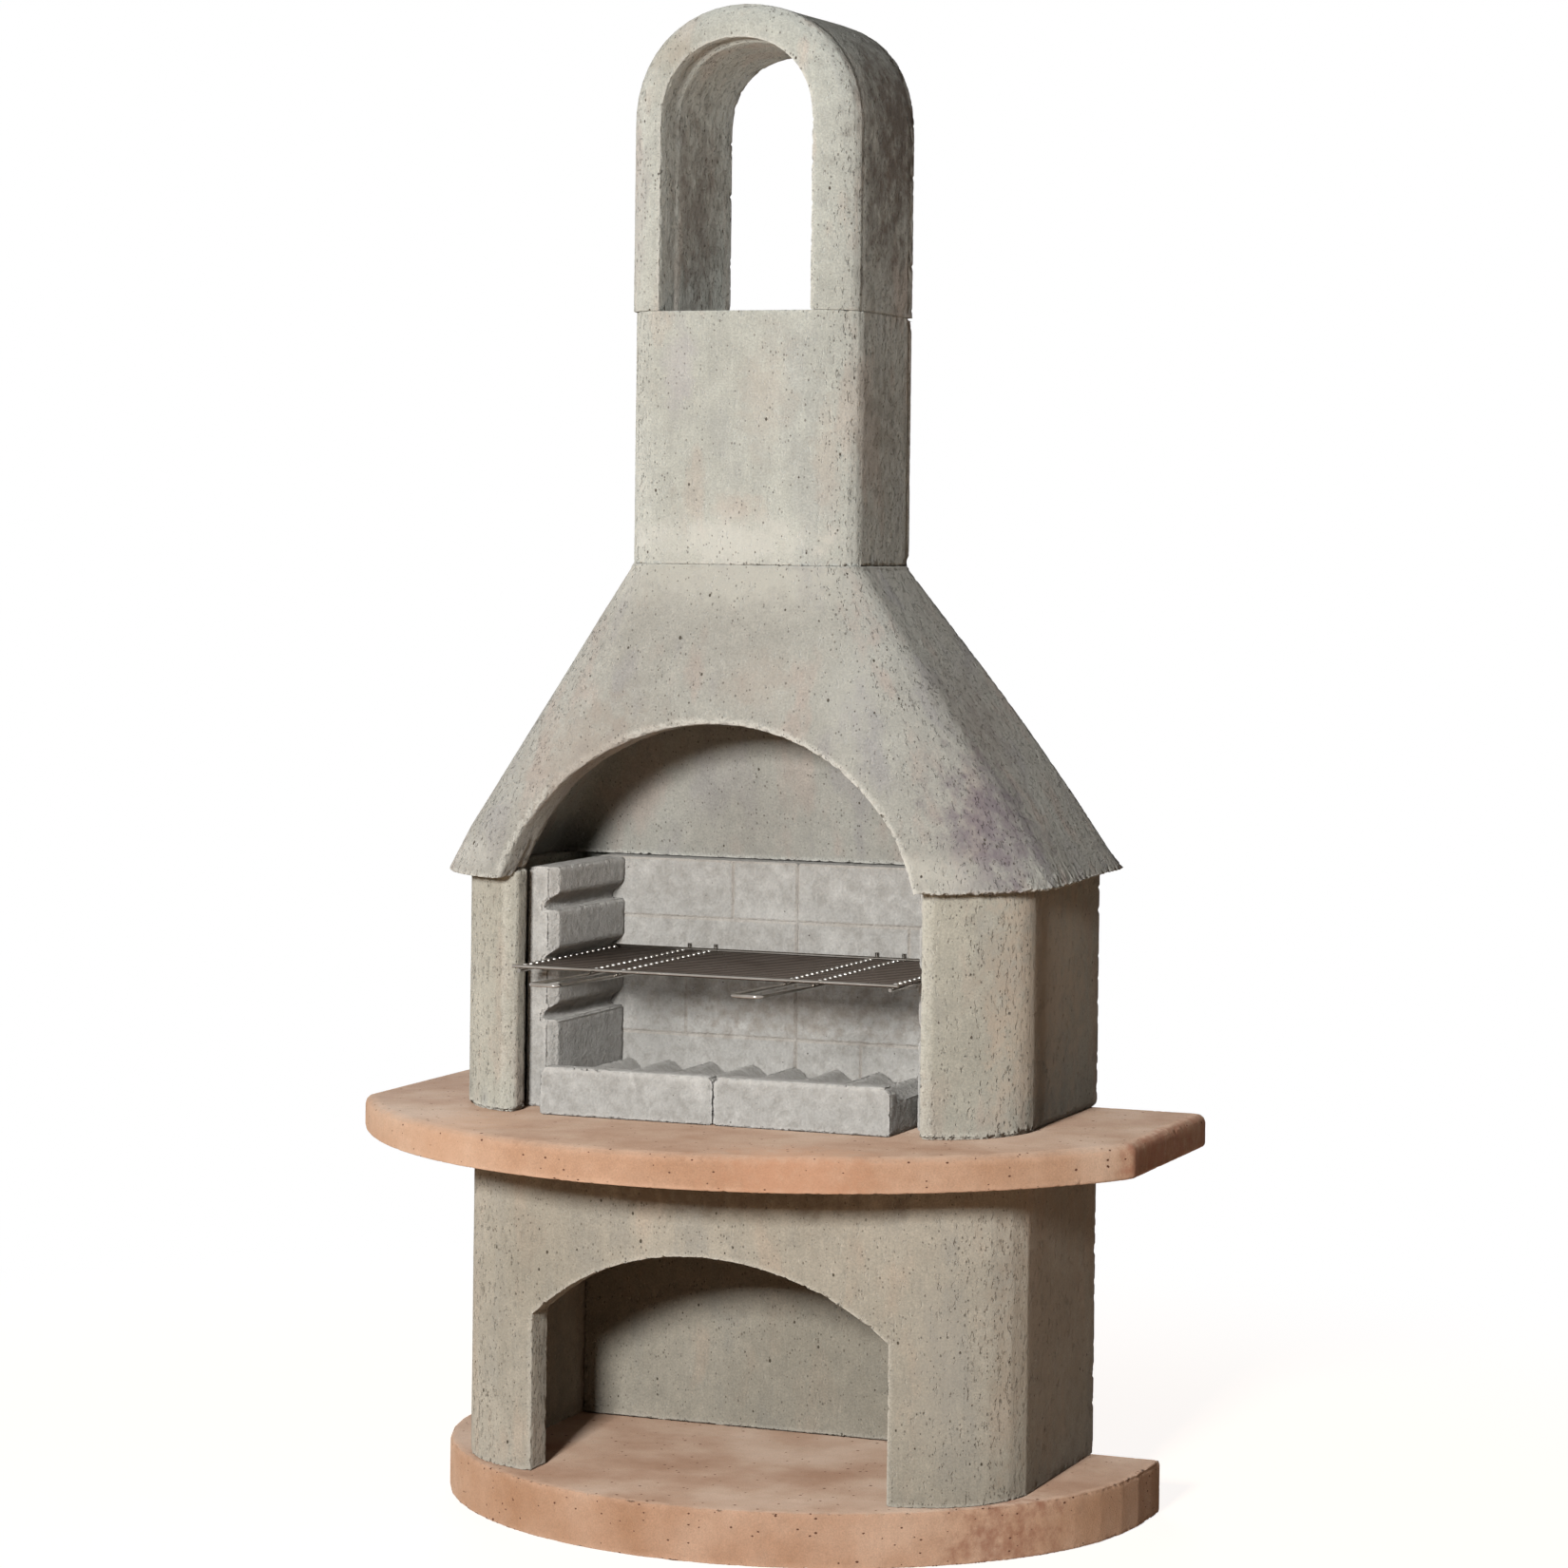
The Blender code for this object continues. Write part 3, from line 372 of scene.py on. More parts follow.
def castConcrete(recipe):
    material, tree = newMaterial(recipe["name"])
    place = addNode(tree, "TexCoord").outputs["Object"]
    stain = pattern(tree, place, recipe["stain"], 2)
    patch = pattern(tree, place, recipe["patch"], 5)
    cloud = pattern(tree, place, recipe["cloud"], 5, 0.65)
    grain = pattern(tree, place, recipe["grain"], 2, 0.7)
    slit = pattern(tree, place, recipe["slit"], 3, 0.6)
    crowd = pattern(tree, place, recipe["crowd"], 2)
    streak = pattern(tree, place, recipe["streak"], 3, 0.6)

    tint = addNode(tree, "ValToRGB", {"stops": [(0.36, recipe["cool"]), (0.46, recipe["paste"]),
                                               (0.55, recipe["paste"]), (0.64, recipe["warm"])]}, {0: patch})
    shade = addNode(tree, "MapRange", {"From Min": 0.3, "From Max": 0.75, "To Min": 0, "To Max": 0.75},
                    {"Value": stain})
    broad = addNode(tree, "Mix", {"data_type": "RGBA", 7: toLinear(recipe["dark"])},
                    {0: shade.outputs[0], 6: tint.outputs[0]}).outputs[2]
    fine = shaded(tree, broad, (cloud, recipe["clouding"]), (grain, recipe["sanding"]), (streak, recipe["brushing"]))
    marked = stainsAndPaintedLight(tree, place, cloud, rubbedRims(tree, fine, grain, recipe), recipe["marks"])

    pin = addNode(tree, "Math", {"operation": "MULTIPLY", 1: recipe["pinholeDark"]},
                  {0: airHoles(tree, place, recipe["pinhole"], crowd)})
    blow = airHoles(tree, place, recipe["blowhole"], crowd)
    hole = addNode(tree, "Math", {"operation": "MAXIMUM"}, {0: pin.outputs[0], 1: blow}).outputs[0]
    colour = addNode(tree, "Mix", {"data_type": "RGBA", 7: toLinear(recipe["hole"])}, {0: hole, 6: marked})

    opened = addNode(tree, "MapRange", {"From Min": 0.30, "From Max": 0.41, "To Min": 1, "To Max": 0}, {"Value": slit})
    layers = {"grain": grain, "cloud": cloud, "slit": opened.outputs[0], "streak": streak, "hole": hole}
    height = relief(tree, *[(layers[name], tall) for name, tall in recipe["relief"].items()])
    coat(tree, porous, colour.outputs[2], height, recipe["roughness"], (0.3, 0.7), cloud)
    return material


# Concrete coloured right through with iron oxide, cast face up: the trowelled top dries paler and
# pinker, the sides keep the orange of the mould face, with short slits where air was caught.
terracotta = {
    "name": "castTerracottaConcrete",
    "side": "C6A287", "sideDeep": "B89072", "sidePale": "D4B69E",
    "top": "BC9F8A", "topPale": "CBB3A0", "topDeep": "AB8A74", "hole": "6E4A3A", "worn": "DDBBA2",
    "stain": 210, "patch": 90, "cloud": 18, "grain": 2.2,
    "clouding": (0.94, 1.05), "sanding": (0.86, 1.13),
    "slits": {"cell": (7, 4.5), "chance": (0.86, 1), "widest": 0.34, "rim": 0.07},
    "relief": {"grain": 0.9, "cloud": 0.8, "slits": -1.2},
    "roughness": (0.78, 0.93), "rubbing": (0.15, 0.55, 0.35),
    "marks": [
        # painted shade on the worktop's right end
        ((0.555, 0.1, 0.52), (0.025, 0.4, 0.1), "AE745C", 0.7),
        # painted shade on the base plate's right end
        ((0.42, -0.1, 0.03), (0.10, 0.2, 0.1), "9C6851", 0.75),
        ((0.20, -0.28, 0.52), (0.14, 0.1, 0.1), "CF9A78", 0.4),
        ((-0.3, -0.2, 0.52), (0.1, 0.15, 0.1), "D2AA8C", 0.4),
    ],
}


def throughColouredConcrete(recipe):
    material, tree = newMaterial(recipe["name"])
    coordinates = addNode(tree, "TexCoord")
    place = coordinates.outputs["Object"]
    stain = pattern(tree, place, recipe["stain"], 2)
    patch = pattern(tree, place, recipe["patch"], 5, 0.6)
    cloud = pattern(tree, place, recipe["cloud"], 5, 0.65)
    grain = pattern(tree, place, recipe["grain"], 2, 0.7)

    facing = addNode(tree, "SeparateXYZ", {}, {0: coordinates.outputs["Normal"]}).outputs["Z"]
    isTop = addNode(tree, "MapRange", {"From Min": 0.45, "From Max": 0.95, "To Min": 0, "To Max": 1}, {"Value": facing})
    blend = addNode(tree, "Mix", {}, {2: patch, 3: stain}).outputs[0]
    sides = addNode(tree, "ValToRGB", {"stops": [(0.34, recipe["sideDeep"]), (0.5, recipe["side"]),
                                                (0.66, recipe["sidePale"])]}, {0: blend})
    tops = addNode(tree, "ValToRGB", {"stops": [(0.36, recipe["topDeep"]), (0.5, recipe["top"]),
                                               (0.64, recipe["topPale"])]}, {0: blend})
    broad = addNode(tree, "Mix", {"data_type": "RGBA"}, {0: isTop.outputs[0], 6: sides.outputs[0], 7: tops.outputs[0]})
    fine = shaded(tree, broad.outputs[2], (cloud, recipe["clouding"]), (grain, recipe["sanding"]))
    marked = stainsAndPaintedLight(tree, place, cloud, rubbedRims(tree, fine, cloud, recipe), recipe["marks"])
    slits = airHoles(tree, place, recipe["slits"])
    colour = addNode(tree, "Mix", {"data_type": "RGBA", 7: toLinear(recipe["hole"])}, {0: slits, 6: marked})

    layers = {"grain": grain, "cloud": cloud, "slits": slits}
    height = relief(tree, *[(layers[name], tall) for name, tall in recipe["relief"].items()])
    coat(tree, porous, colour.outputs[2], height, recipe["roughness"], (0.3, 0.7), cloud)
    return material


# Pressed refractory brick: a dry, finely pimpled face with white lime bloom in clouds and a few dark grains.
firebrick = {
    "name": "pressedFirebrick",
    "clay": "C3C1BD", "shade": "B4B1AC", "bloom": "DFDDD9", "speck": "6B6761",
    "bloomSize": 38, "cloud": 13, "pimple": 3.4, "sanding": (0.87, 1.12), "rimBloom": 0.55,
    "specks": {"cell": (9, 9), "chance": (0.78, 1), "widest": 0.16, "rim": 0.06},
    "relief": {"pimple": 4.2, "cloud": 5.0}, "roughness": (0.85, 0.97),
    "marks": [
        # painted shadow of the grate across the back bricks
        ((0.0, 0.2, 0.665), (0.28, 0.04, 0.05), "A39588", 0.5),
        ((-0.02, 0.2, 0.79), (0.10, 0.04, 0.02), "E2E0DC", 0.5),
        ((0.28, 0.19, 0.70), (0.05, 0.05, 0.08), "9C9086", 0.5),
    ],
}
limeJoint = dict(firebrick, name="limeDustedJoint", clay="C6C1BA", shade="B7B1AA", bloom="D9D6D1")


def pressedBrick(recipe):
    material, tree = newMaterial(recipe["name"])
    place = addNode(tree, "TexCoord").outputs["Object"]
    bloom = pattern(tree, place, recipe["bloomSize"], 6, 0.68, 0.5)
    cloud = pattern(tree, place, recipe["cloud"], 5, 0.6)
    pimple = pattern(tree, place, recipe["pimple"], 3, 0.6)

    clay = addNode(tree, "ValToRGB", {"stops": [(0.36, recipe["shade"]), (0.58, recipe["clay"])]}, {0: cloud})
    white = addNode(tree, "MapRange", {"From Min": 0.50, "From Max": 0.72, "To Min": 0, "To Max": 0.6},
                    {"Value": bloom})
    bloomed = addNode(tree, "Mix", {"data_type": "RGBA", 7: toLinear(recipe["bloom"])},
                      {0: white.outputs[0], 6: clay.outputs[0]})
    marked = stainsAndPaintedLight(tree, place, cloud, bloomed.outputs[2], recipe["marks"])
    fine = shaded(tree, marked, (pimple, recipe["sanding"]))
    wear = addNode(tree, "Attribute", {"attribute_name": "wear"}).outputs["Fac"]
    dusted = addNode(tree, "Math", {"operation": "MULTIPLY", 1: recipe["rimBloom"]}, {0: wear})
    edged = addNode(tree, "Mix", {"data_type": "RGBA", 7: toLinear(recipe["bloom"])}, {0: dusted.outputs[0], 6: fine})
    colour = addNode(tree, "Mix", {"data_type": "RGBA", 7: toLinear(recipe["speck"])},
                     {0: airHoles(tree, place, recipe["specks"]), 6: edged.outputs[2]})

    layers = {"pimple": pimple, "cloud": cloud}
    height = relief(tree, *[(layers[name], tall) for name, tall in recipe["relief"].items()])
    coat(tree, porous, colour.outputs[2], height, recipe["roughness"], (0.3, 0.7), cloud)
    return material


# Chrome plate on drawn steel wire: smooth, a little yellowed and duller where it has been hot. Its colours are darkened
# as painted dark reflection.
chrome = {
    "name": "chromePlatedWire", "plate": "A49E97", "heated": "8A8279",
    "tintSize": 35, "draw": 1.2, "drawn": 0.04, "roughness": (0.13, 0.26),
}
# the bars' near-black colour is heat tint and painted dark reflection
heatedBarWithPaintedReflection = dict(chrome, name="heatTintedWirePaintedReflection", plate="5E554E", heated="4A423C", tintSize=80,
                 roughness=(0.26, 0.42))
# near-white plate: a painted glint on each weld
weldMetalPaintedGlint = dict(chrome, name="chromePlatedWeldPaintedGlint", plate="ECEAE6", heated="C9C3BA", tintSize=9, roughness=(0.18, 0.34))


def chromePlate(recipe):
    material, tree = newMaterial(recipe["name"])
    place = addNode(tree, "TexCoord").outputs["Object"]
    tint = pattern(tree, place, recipe["tintSize"], 4, 0.5)
    drawn = pattern(tree, place, recipe["draw"], 2, 0.5)
    colour = addNode(tree, "ValToRGB", {"stops": [(0.42, recipe["plate"]), (0.70, recipe["heated"])]}, {0: tint})
    coat(tree, plated, colour.outputs[0], relief(tree, (drawn, recipe["drawn"])), recipe["roughness"],
         (0.35, 0.7), tint)
    return material


finishes = {
    "grey_concrete": castConcrete(greyConcrete),
    "greenish_concrete": castConcrete(greenConcrete),
    "terracotta_concrete": throughColouredConcrete(terracotta),
    "firebrick": pressedBrick(firebrick),
    "chromed_wire": chromePlate(chrome),
}
hoodFinish = castConcrete(hoodConcrete)
wallFinish = castConcrete(wallConcrete)
weldGlintFinish = chromePlate(weldMetalPaintedGlint)
barTintAndReflectionFinish = chromePlate(heatedBarWithPaintedReflection)
jointFinish = pressedBrick(limeJoint)
print("materials made")


# Masonry: each solid is taken over, divided finely, and worn and knocked along its rims


def settle(piece):  # the modifiers' result becomes the mesh
    made = bpy.data.meshes.new_from_object(piece.evaluated_get(bpy.context.evaluated_depsgraph_get()))
    old = piece.data
    piece.modifiers.clear()
    piece.data = made
    bpy.data.meshes.remove(old)


def read(values, name, width):
    found = np.empty(len(values) * width, np.float32)
    values.foreach_get(name, found)
    return found.reshape(-1, width)


seedStep = 7.31  # sizes of a patch between one seed and the next


def unevenness(points, size, seed):  # about -1 to 1, in patches of that size in mm
    moved = points / (size * millimetre) + seed * seedStep
    return np.fromiter(map(noise.noise, moved.tolist()), float, len(points))


weathering = {
    "grain": 3,  # mm between points of the skin
    "kept": 0.22,  # share of the faces kept afterwards, most of them along the rims
    "rimReach": 10,  # mm
    "sharp": 32,  # degrees
    "tight": 45,  # a curve closer than this many radians in a metre counts as a rim too
    "bent": 8, "arris": 40,  # degrees: the least bend of such a curve, and the least of a rim that stays sharp
    "rimStep": 0.4, "onRim": 0.7,  # shares of the grain: between points along a rim, and how near one is drawn onto it
    "bevel": 4,  # the solids' rounding along their bedded rims
    "sway": (0.5, 75),  # depth and size of the mould's unevenness, mm
    "ripple": (0.25, 16),
    "bedded": 0.85, "beddedFade": 0.12,  # faces this level, that pieces stand on, stay flat
    "rim": 0.3, "rimVaries": 30,  # every rim is rubbed back about this far
    "chip": (2.6, 10, 0.22),  # depth, size, and how scarce
    "crumb": 2.7, "chipSlope": 0.5,  # how much smaller its crumbs are, and how gently it deepens
    "chipDark": 0.6,  # a fresh chip isn't polished pale
    "jointWear": 0.08,  # share of the wear that is left at a tight joint
    "knockRagged": 0.45, "knockFlat": 0.7,  # a single knock's outline and floor
    "quick": 1.6,  # a factor for a coarser skin
}


def rimTrees(form, how):  # points along every outward rim, and along the sharp ones alone
    found, sharp = [], []
    for edge in form.edges:
        angle = edge.calc_face_angle(0)
        across = sum(face.calc_area() for face in edge.link_faces) / max(edge.calc_length(), 1e-9)
        curved = angle > math.radians(how["bent"]) and angle > how["tight"] * across
        if edge.is_convex and (angle > math.radians(how["sharp"]) or curved):
            low, high = (corner.co for corner in edge.verts)
            steps = max(1, math.ceil((high - low).length / (how["rimStep"] * how["grain"] * millimetre)))
            line = [low.lerp(high, step / steps) for step in range(steps + 1)]
            found += line
            sharp += line if angle > math.radians(how["arris"]) else []
    trees = []
    for points in (found, sharp):
        tree = KDTree(len(points))
        for index, point in enumerate(points):
            tree.insert(point, index)
        tree.balance()
        trees.append(tree)
    return trees


def fitted(points, form, sharpRims, how, tight):  # every point is drawn back onto the solid or onto its near rims
    surface = BVHTree.FromBMesh(form)
    made = np.empty_like(points)
    for index, point in enumerate(points):
        near, normal, _, _ = surface.find_nearest(point)
        rim, _, away = sharpRims.find(near)
        if rim is not None and away < how["onRim"] * how["grain"] * millimetre:
            near = rim
        elif any(abs(near.z - level) < how["bevel"] * millimetre for level in tight):  # such a joint is a hairline
            flat = max(abs(normal.z), math.hypot(normal.x, normal.y))
            near = near + normal * (how["bevel"] * millimetre * (1 / flat - 1))
        made[index] = near
    return made


def rubbed(points, out, wear, seed, how, spots):  # how far in each point goes, in mm, and where a rim has chipped
    free = 1 - np.clip((np.abs(out[:, 2]) - how["bedded"]) / how["beddedFade"], 0, 1)
    depth, size = how["sway"]
    inward = depth * (0.5 + 0.5 * unevenness(points, size, seed))
    depth, size = how["ripple"]
    inward = (inward + depth * (0.5 + 0.5 * unevenness(points, size, seed + 1))) * free
    inward += how["rim"] * wear * (1 + unevenness(points, how["rimVaries"], seed + 2))
    depth, size, scarce = how["chip"]
    loose = unevenness(points, size, seed + 3) + 0.5 * unevenness(points, size / how["crumb"], seed + 4)
    chipped = np.clip((loose - scarce) / how["chipSlope"], 0, 1)
    inward += depth * wear * chipped
    for centre, width, deep in spots:  # single knocks: where, how wide and how deep in mm
        away = np.linalg.norm(points - np.array(centre), axis=1) / (width * millimetre)
        ragged = 1 + how["knockRagged"] * unevenness(points, width / 2, seed + 5)
        inward += deep * np.clip(1 - away * ragged, 0, 1) ** how["knockFlat"]
    return inward, chipped


def weather(name, node, slotName, seed, spots=(), finish=None, tightLevels=(), reshape=None, **changes):
    how = dict(weathering, **changes)
    form = bmesh.new()
    form.from_mesh(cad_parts[node].data)
    bmesh.ops.remove_doubles(form, verts=form.verts, dist=1e-6)
    rims, sharpRims = rimTrees(form, how)
    mesh = bpy.data.meshes.new(name)
    form.to_mesh(mesh)
    piece = bpy.data.objects.new(name, mesh)
    layout.objects.link(piece)
    skin = piece.modifiers.new("skin", "REMESH")
    skin.mode, skin.voxel_size = "VOXEL", how["grain"] * millimetre * 1
    settle(piece)
    mesh = piece.data
    points = read(mesh.vertices, "co", 3).astype(float)
    points = fitted(points, form, sharpRims, how, tightLevels)
    form.free()
    away = np.array([rims.find(point)[2] for point in points]) / (how["rimReach"] * millimetre)
    if reshape:
        points = reshape(points)
    mesh.vertices.foreach_set("co", points.astype(np.float32).ravel())
    mesh.update()
    out = read(mesh.vertex_normals, "vector", 3).astype(float)
    wear = np.clip(1 - away, 0, 1)
    for level in tightLevels:
        wear *= np.clip(np.abs(points[:, 2] - level) / (how["rimReach"] * millimetre), how["jointWear"], 1)
    inward, chipped = rubbed(points, out, wear, seed, how, spots)
    points -= out * inward[:, None] * millimetre
    points = np.clip(points, *solidBox)
    mesh.vertices.foreach_set("co", points.astype(np.float32).ravel())
    shown = (wear * (1 - how["chipDark"] * chipped)).astype(np.float32)
    mesh.attributes.new("wear", "FLOAT", "POINT").data.foreach_set("value", shown)
    thin = piece.modifiers.new("thin", "DECIMATE")
    thin.ratio = how["kept"]
    settle(piece)
    piece.data.shade_smooth()
    piece.data.materials.clear()
    piece.data.materials.append(finish or finishes[slotName])
    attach(piece, "masonry")
    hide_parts(node)
    print(name, len(piece.data.polygons), "faces")


def smooth(value, start, end):
    share = np.clip((value - start) / (end - start), 0, 1)
    return share * share * (3 - 2 * share)


def turnCorner(first, second, old, new):  # how far in from two faces a point lies, once their corner's radius is new
    wide = np.maximum(old, new)
    across, along = wide - first, wide - second
    inside = (across > 0) & (along > 0)
    angle = np.arctan2(np.where(inside, along, 1), np.where(inside, across, 1))
    cosine, sine = np.cos(angle), np.sin(angle)

    def reach(radius):  # from the corner zone's inner end to the rim, in that direction
        straight = wide - radius
        flat = wide / np.maximum(cosine, sine)
        bent = straight * (cosine + sine) + np.sqrt(np.maximum(radius ** 2 - straight ** 2 * (cosine - sine) ** 2, 0))
        return np.where(np.minimum(cosine, sine) * flat < straight, flat, bent)

    scale = np.where(inside, reach(new) / reach(old), 1)
    return np.where(inside, wide - across * scale, first), np.where(inside, wide - along * scale, second)


rearRound = (0.018, 0.003)  # the solids' rear corners, and the nearly sharp ones that show


def squareRear(points, halfWidth, rear):
    x, y = points[:, 0], points[:, 1]
    side, back = turnCorner(halfWidth - np.abs(x), rear - y, *rearRound)
    return np.column_stack([np.sign(x) * (halfWidth - side), rear - back, points[:, 2]])


hoodShape = {  # metres
    "top": (0.160, -0.039), "low": (0.4308, -0.1399),  # half width and front at either end
    "corner": (0.09, 0.062), "rounder": 0.2,  # the solid's front corners from low to top, and the low one that shows
    "swell": 0.010,  # how far the sides stand out halfway up
    "lip": 0.0095, "lipReach": 0.05,  # how far the rim hangs down outside the walls, and over what height it stretches
    "outside": (0.003, 0.010), "fromRear": (0.30, 0.02),  # where it comes in, from the walls' faces and from the rear
    "wallProbe": 0.03, "wallMiddle": 0.2,
    "tooth": (5, 8.5), "toothStretch": (1, 1, 0.2),  # crumbled teeth along the right side: mm, and their seed
    "torn": 0.8, "tornFrom": (0.10, 0.34),  # share of the lip, and where along x they begin
}


def reshapeHood(points):  # rounder lower front corners, fuller sides, and a rim that hangs over the walls' tops
    low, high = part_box("hood")
    up = (points[:, 2] - low.z) / (high.z - low.z)
    halfWidth, front = (a + (b - a) * up for a, b in zip(hoodShape["low"], hoodShape["top"]))
    lowCorner, topCorner = hoodShape["corner"]
    old, new = (radius + (topCorner - radius) * up for radius in (lowCorner, hoodShape["rounder"]))
    x, y = points[:, 0], points[:, 1]
    side, ahead = turnCorner(halfWidth - np.abs(x), y - front, old, new)
    points = np.column_stack([np.sign(x) * (halfWidth - side), front + ahead, points[:, 2]])
    points = squareRear(points, halfWidth, high.y)
    points[:, 0] += np.sign(points[:, 0]) * hoodShape["swell"] * np.sin(np.pi * up) * smooth(points[:, 1], 0, high.y)
    walls = [BVHTree.FromPolygons([v.co for v in mesh.vertices], [p.vertices for p in mesh.polygons])
             for mesh in (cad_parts["firebox_wall_" + side].data for side in ("left", "right"))]
    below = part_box("firebox_wall_left")[1].z - hoodShape["wallProbe"]
    toothSize, toothSeed = hoodShape["tooth"]
    teeth = 0.5 + 0.5 * unevenness(points * hoodShape["toothStretch"], toothSize, toothSeed)
    for index in np.nonzero(points[:, 2] < low.z + hoodShape["lipReach"])[0]:
        x, y, z = points[index]
        near, normal, _, away = walls[int(x > 0)].find_nearest((x, y, below))
        outward = normal.x * near.x + normal.y * (near.y - hoodShape["wallMiddle"])
        outside = math.copysign(away, (x - near.x) * normal.x + (y - near.y) * normal.y) if outward > 0 else -1
        hang = smooth(outside, *hoodShape["outside"]) * smooth(y, *hoodShape["fromRear"])
        hang *= 1 - (z - low.z) / hoodShape["lipReach"]
        torn = smooth(x, *hoodShape["tornFrom"]) * hoodShape["torn"] * teeth[index]
        points[index, 2] = z - hoodShape["lip"] * hang * (1 - torn)
    return points


def reshapePipe(points):
    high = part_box("chimney_section")[1]
    return squareRear(points, high.x, high.y)


capShape = {
    "rim": 0.062, "rimAbove": 0.034, "rimBeside": 0.05,  # the solid's front rim, and the ones that show, in metres
    "shoulders": (0.015, 0.05),  # shares by which the arch's shoulders stand out, at the front and at the rear
}


def reshapeCap(points):  # a front rim tighter over the top than down the sides, and fuller shoulders
    low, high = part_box("chimney_cap")
    bend = high.z - high.x
    x, y, up = points[:, 0], points[:, 1], np.maximum(points[:, 2] - bend, 0)
    out = np.hypot(x, up)
    above = up / np.maximum(out, 1e-6)
    tight = capShape["rimBeside"] + (capShape["rimAbove"] - capShape["rimBeside"]) * above
    side, ahead = turnCorner(high.x - out, y - low.y, np.full(len(x), capShape["rim"]), tight)
    y = low.y + ahead
    side, back = turnCorner(side, high.y - y, *rearRound)
    scale = (high.x - side) / np.maximum(out, 1e-6)
    behind = smooth(points[:, 1], low.y, high.y)
    corner = (2 * above * np.abs(x) / np.maximum(out, 1e-6)) ** 2  # 1 halfway round the arch
    least, most = capShape["shoulders"]
    scale *= 1 + (least + (most - least) * behind) * corner
    return np.column_stack([x * scale, high.y - back, np.where(up > 0, bend + up * scale, points[:, 2])])


bowCorner = 0.17  # radius of the plan's corners between the bow front and the sides, metres


def fuller(grow):  # those corners stand out further, by that many mm in their middle
    def reshape(points):
        solid = read(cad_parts["firebox_wall_right"].data.vertices, "co", 3)
        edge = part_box("firebox_wall_right")[1].x
        centre = (edge - bowCorner, solid[solid[:, 0] > edge - 0.5 * millimetre][:, 1].min())
        across, along = np.abs(points[:, 0]) - centre[0], centre[1] - points[:, 1]
        inside = (across > 0) & (along > 0)
        angle = np.arctan2(np.where(inside, along, 0), np.where(inside, across, 1))
        scale = 1 + np.where(inside, grow * millimetre / bowCorner * np.sin(2 * angle), 0)
        return np.column_stack([np.where(inside, np.sign(points[:, 0]) * (centre[0] + across * scale), points[:, 0]),
                                np.where(inside, centre[1] - along * scale, points[:, 1]), points[:, 2]])
    return reshape


slabwork = {"sway": (0.4, 90), "ripple": (0.12, 14), "rim": 0.12, "chip": (1.6, 8, 0.30)}
baseShape = {"wider": 1.015, "bow": 0.022, "bowFrom": (0.02, 0.3)}  # shares of its width; metres from the rear


def reshapeBase(points):
    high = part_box("base_plate")[1]
    widened = points.copy()
    widened[:, 0] *= baseShape["wider"] + baseShape["bow"] * smooth(high.y - points[:, 1], *baseShape["bowFrom"])
    return squareRear(widened, high.x * baseShape["wider"], high.y)


def reshapeWorktop(points):
    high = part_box("worktop")[1]
    return squareRear(points, high.x, high.y)


weather("basePlate", "base_plate", "terracotta_concrete", 1, reshape=reshapeBase, **slabwork)
weather("worktopSlab", "worktop", "terracotta_concrete", 2, reshape=reshapeWorktop, **slabwork)
weather("plinthShell", "plinth_shell", "greenish_concrete", 3, reshape=fuller(9))
weather("plinthRear", "plinth_rear_panel", "greenish_concrete", 4)
weather("fireboxWallLeft", "firebox_wall_left", "grey_concrete", 5, finish=wallFinish, reshape=fuller(18))
weather("fireboxWallRight", "firebox_wall_right", "grey_concrete", 6, finish=wallFinish, reshape=fuller(18))
weather("fireboxRear", "firebox_rear_panel", "grey_concrete", 7)
hoodTop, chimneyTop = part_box("hood")[1].z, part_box("chimney_section")[1].z
weather("hood", "hood", "grey_concrete", 8, finish=hoodFinish, tightLevels=[hoodTop], reshape=reshapeHood,
        chip=(2.6, 8, 0.02))
knock = {"size": (16, 4), "ahead": 0.019, "behind": 0.006}  # width and depth in mm; metres in from front and rear
pipeLow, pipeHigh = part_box("chimney_section")
jointKnocks = [((x, y, level), *knock["size"]) for x in (pipeLow.x, pipeHigh.x)
               for y in (pipeLow.y + knock["ahead"], pipeHigh.y - knock["behind"]) for level in (hoodTop, chimneyTop)]
weather("chimneySection", "chimney_section", "grey_concrete", 9, jointKnocks, tightLevels=[hoodTop, chimneyTop],
        reshape=reshapePipe)
weather("chimneyCap", "chimney_cap", "grey_concrete", 10, tightLevels=[chimneyTop], reshape=reshapeCap)

brickwork = {"grain": 1.8, "kept": 0.2, "rimReach": 6, "sway": (0.4, 60), "ripple": (0.25, 9), "rim": 0.15,
             "chip": (1.2, 8, 0.15)}
hearthwork = dict(brickwork, ripple=(0.8, 13), rim=0.7, sway=(0.8, 50), chip=(1.8, 7, 0.05))
hearthJoint = {  # worn to a shallow V where the two bricks touch
    "deep": 3.5, "wide": 7, "drawnIn": 2.5, "gap": 0.05,  # mm
    "front": (-0.070, -0.082), "top": (0.594, 0.606),  # metres, towards the rim
}


def meetInMiddle(points):
    across = np.abs(points[:, 0]) / millimetre
    groove = hearthJoint["deep"] * millimetre * np.clip(1 - across / hearthJoint["wide"], 0, 1)
    ahead, above = smooth(points[:, 1], *hearthJoint["front"]), smooth(points[:, 2], *hearthJoint["top"])
    end = np.sign(points[:, 0]) * hearthJoint["gap"] * millimetre
    x = np.where(across < hearthJoint["drawnIn"], end, points[:, 0])
    return np.column_stack([x, points[:, 1] + groove * ahead, points[:, 2] - groove * above])


for seed, side in enumerate(("left", "right")):
    weather("sideBrick" + side.title(), "side_brick_" + side, "firebrick", 20 + 3 * seed, **brickwork)
    weather("hearthBrick" + side.title(), "hearth_brick_" + side, "firebrick", 22 + 3 * seed, reshape=meetInMiddle,
            **hearthwork)


coursing = {"sunk": 0.4, "ahead": 0.3, "crease": 30}  # a line's depth in mm, how far it looks forward, degrees


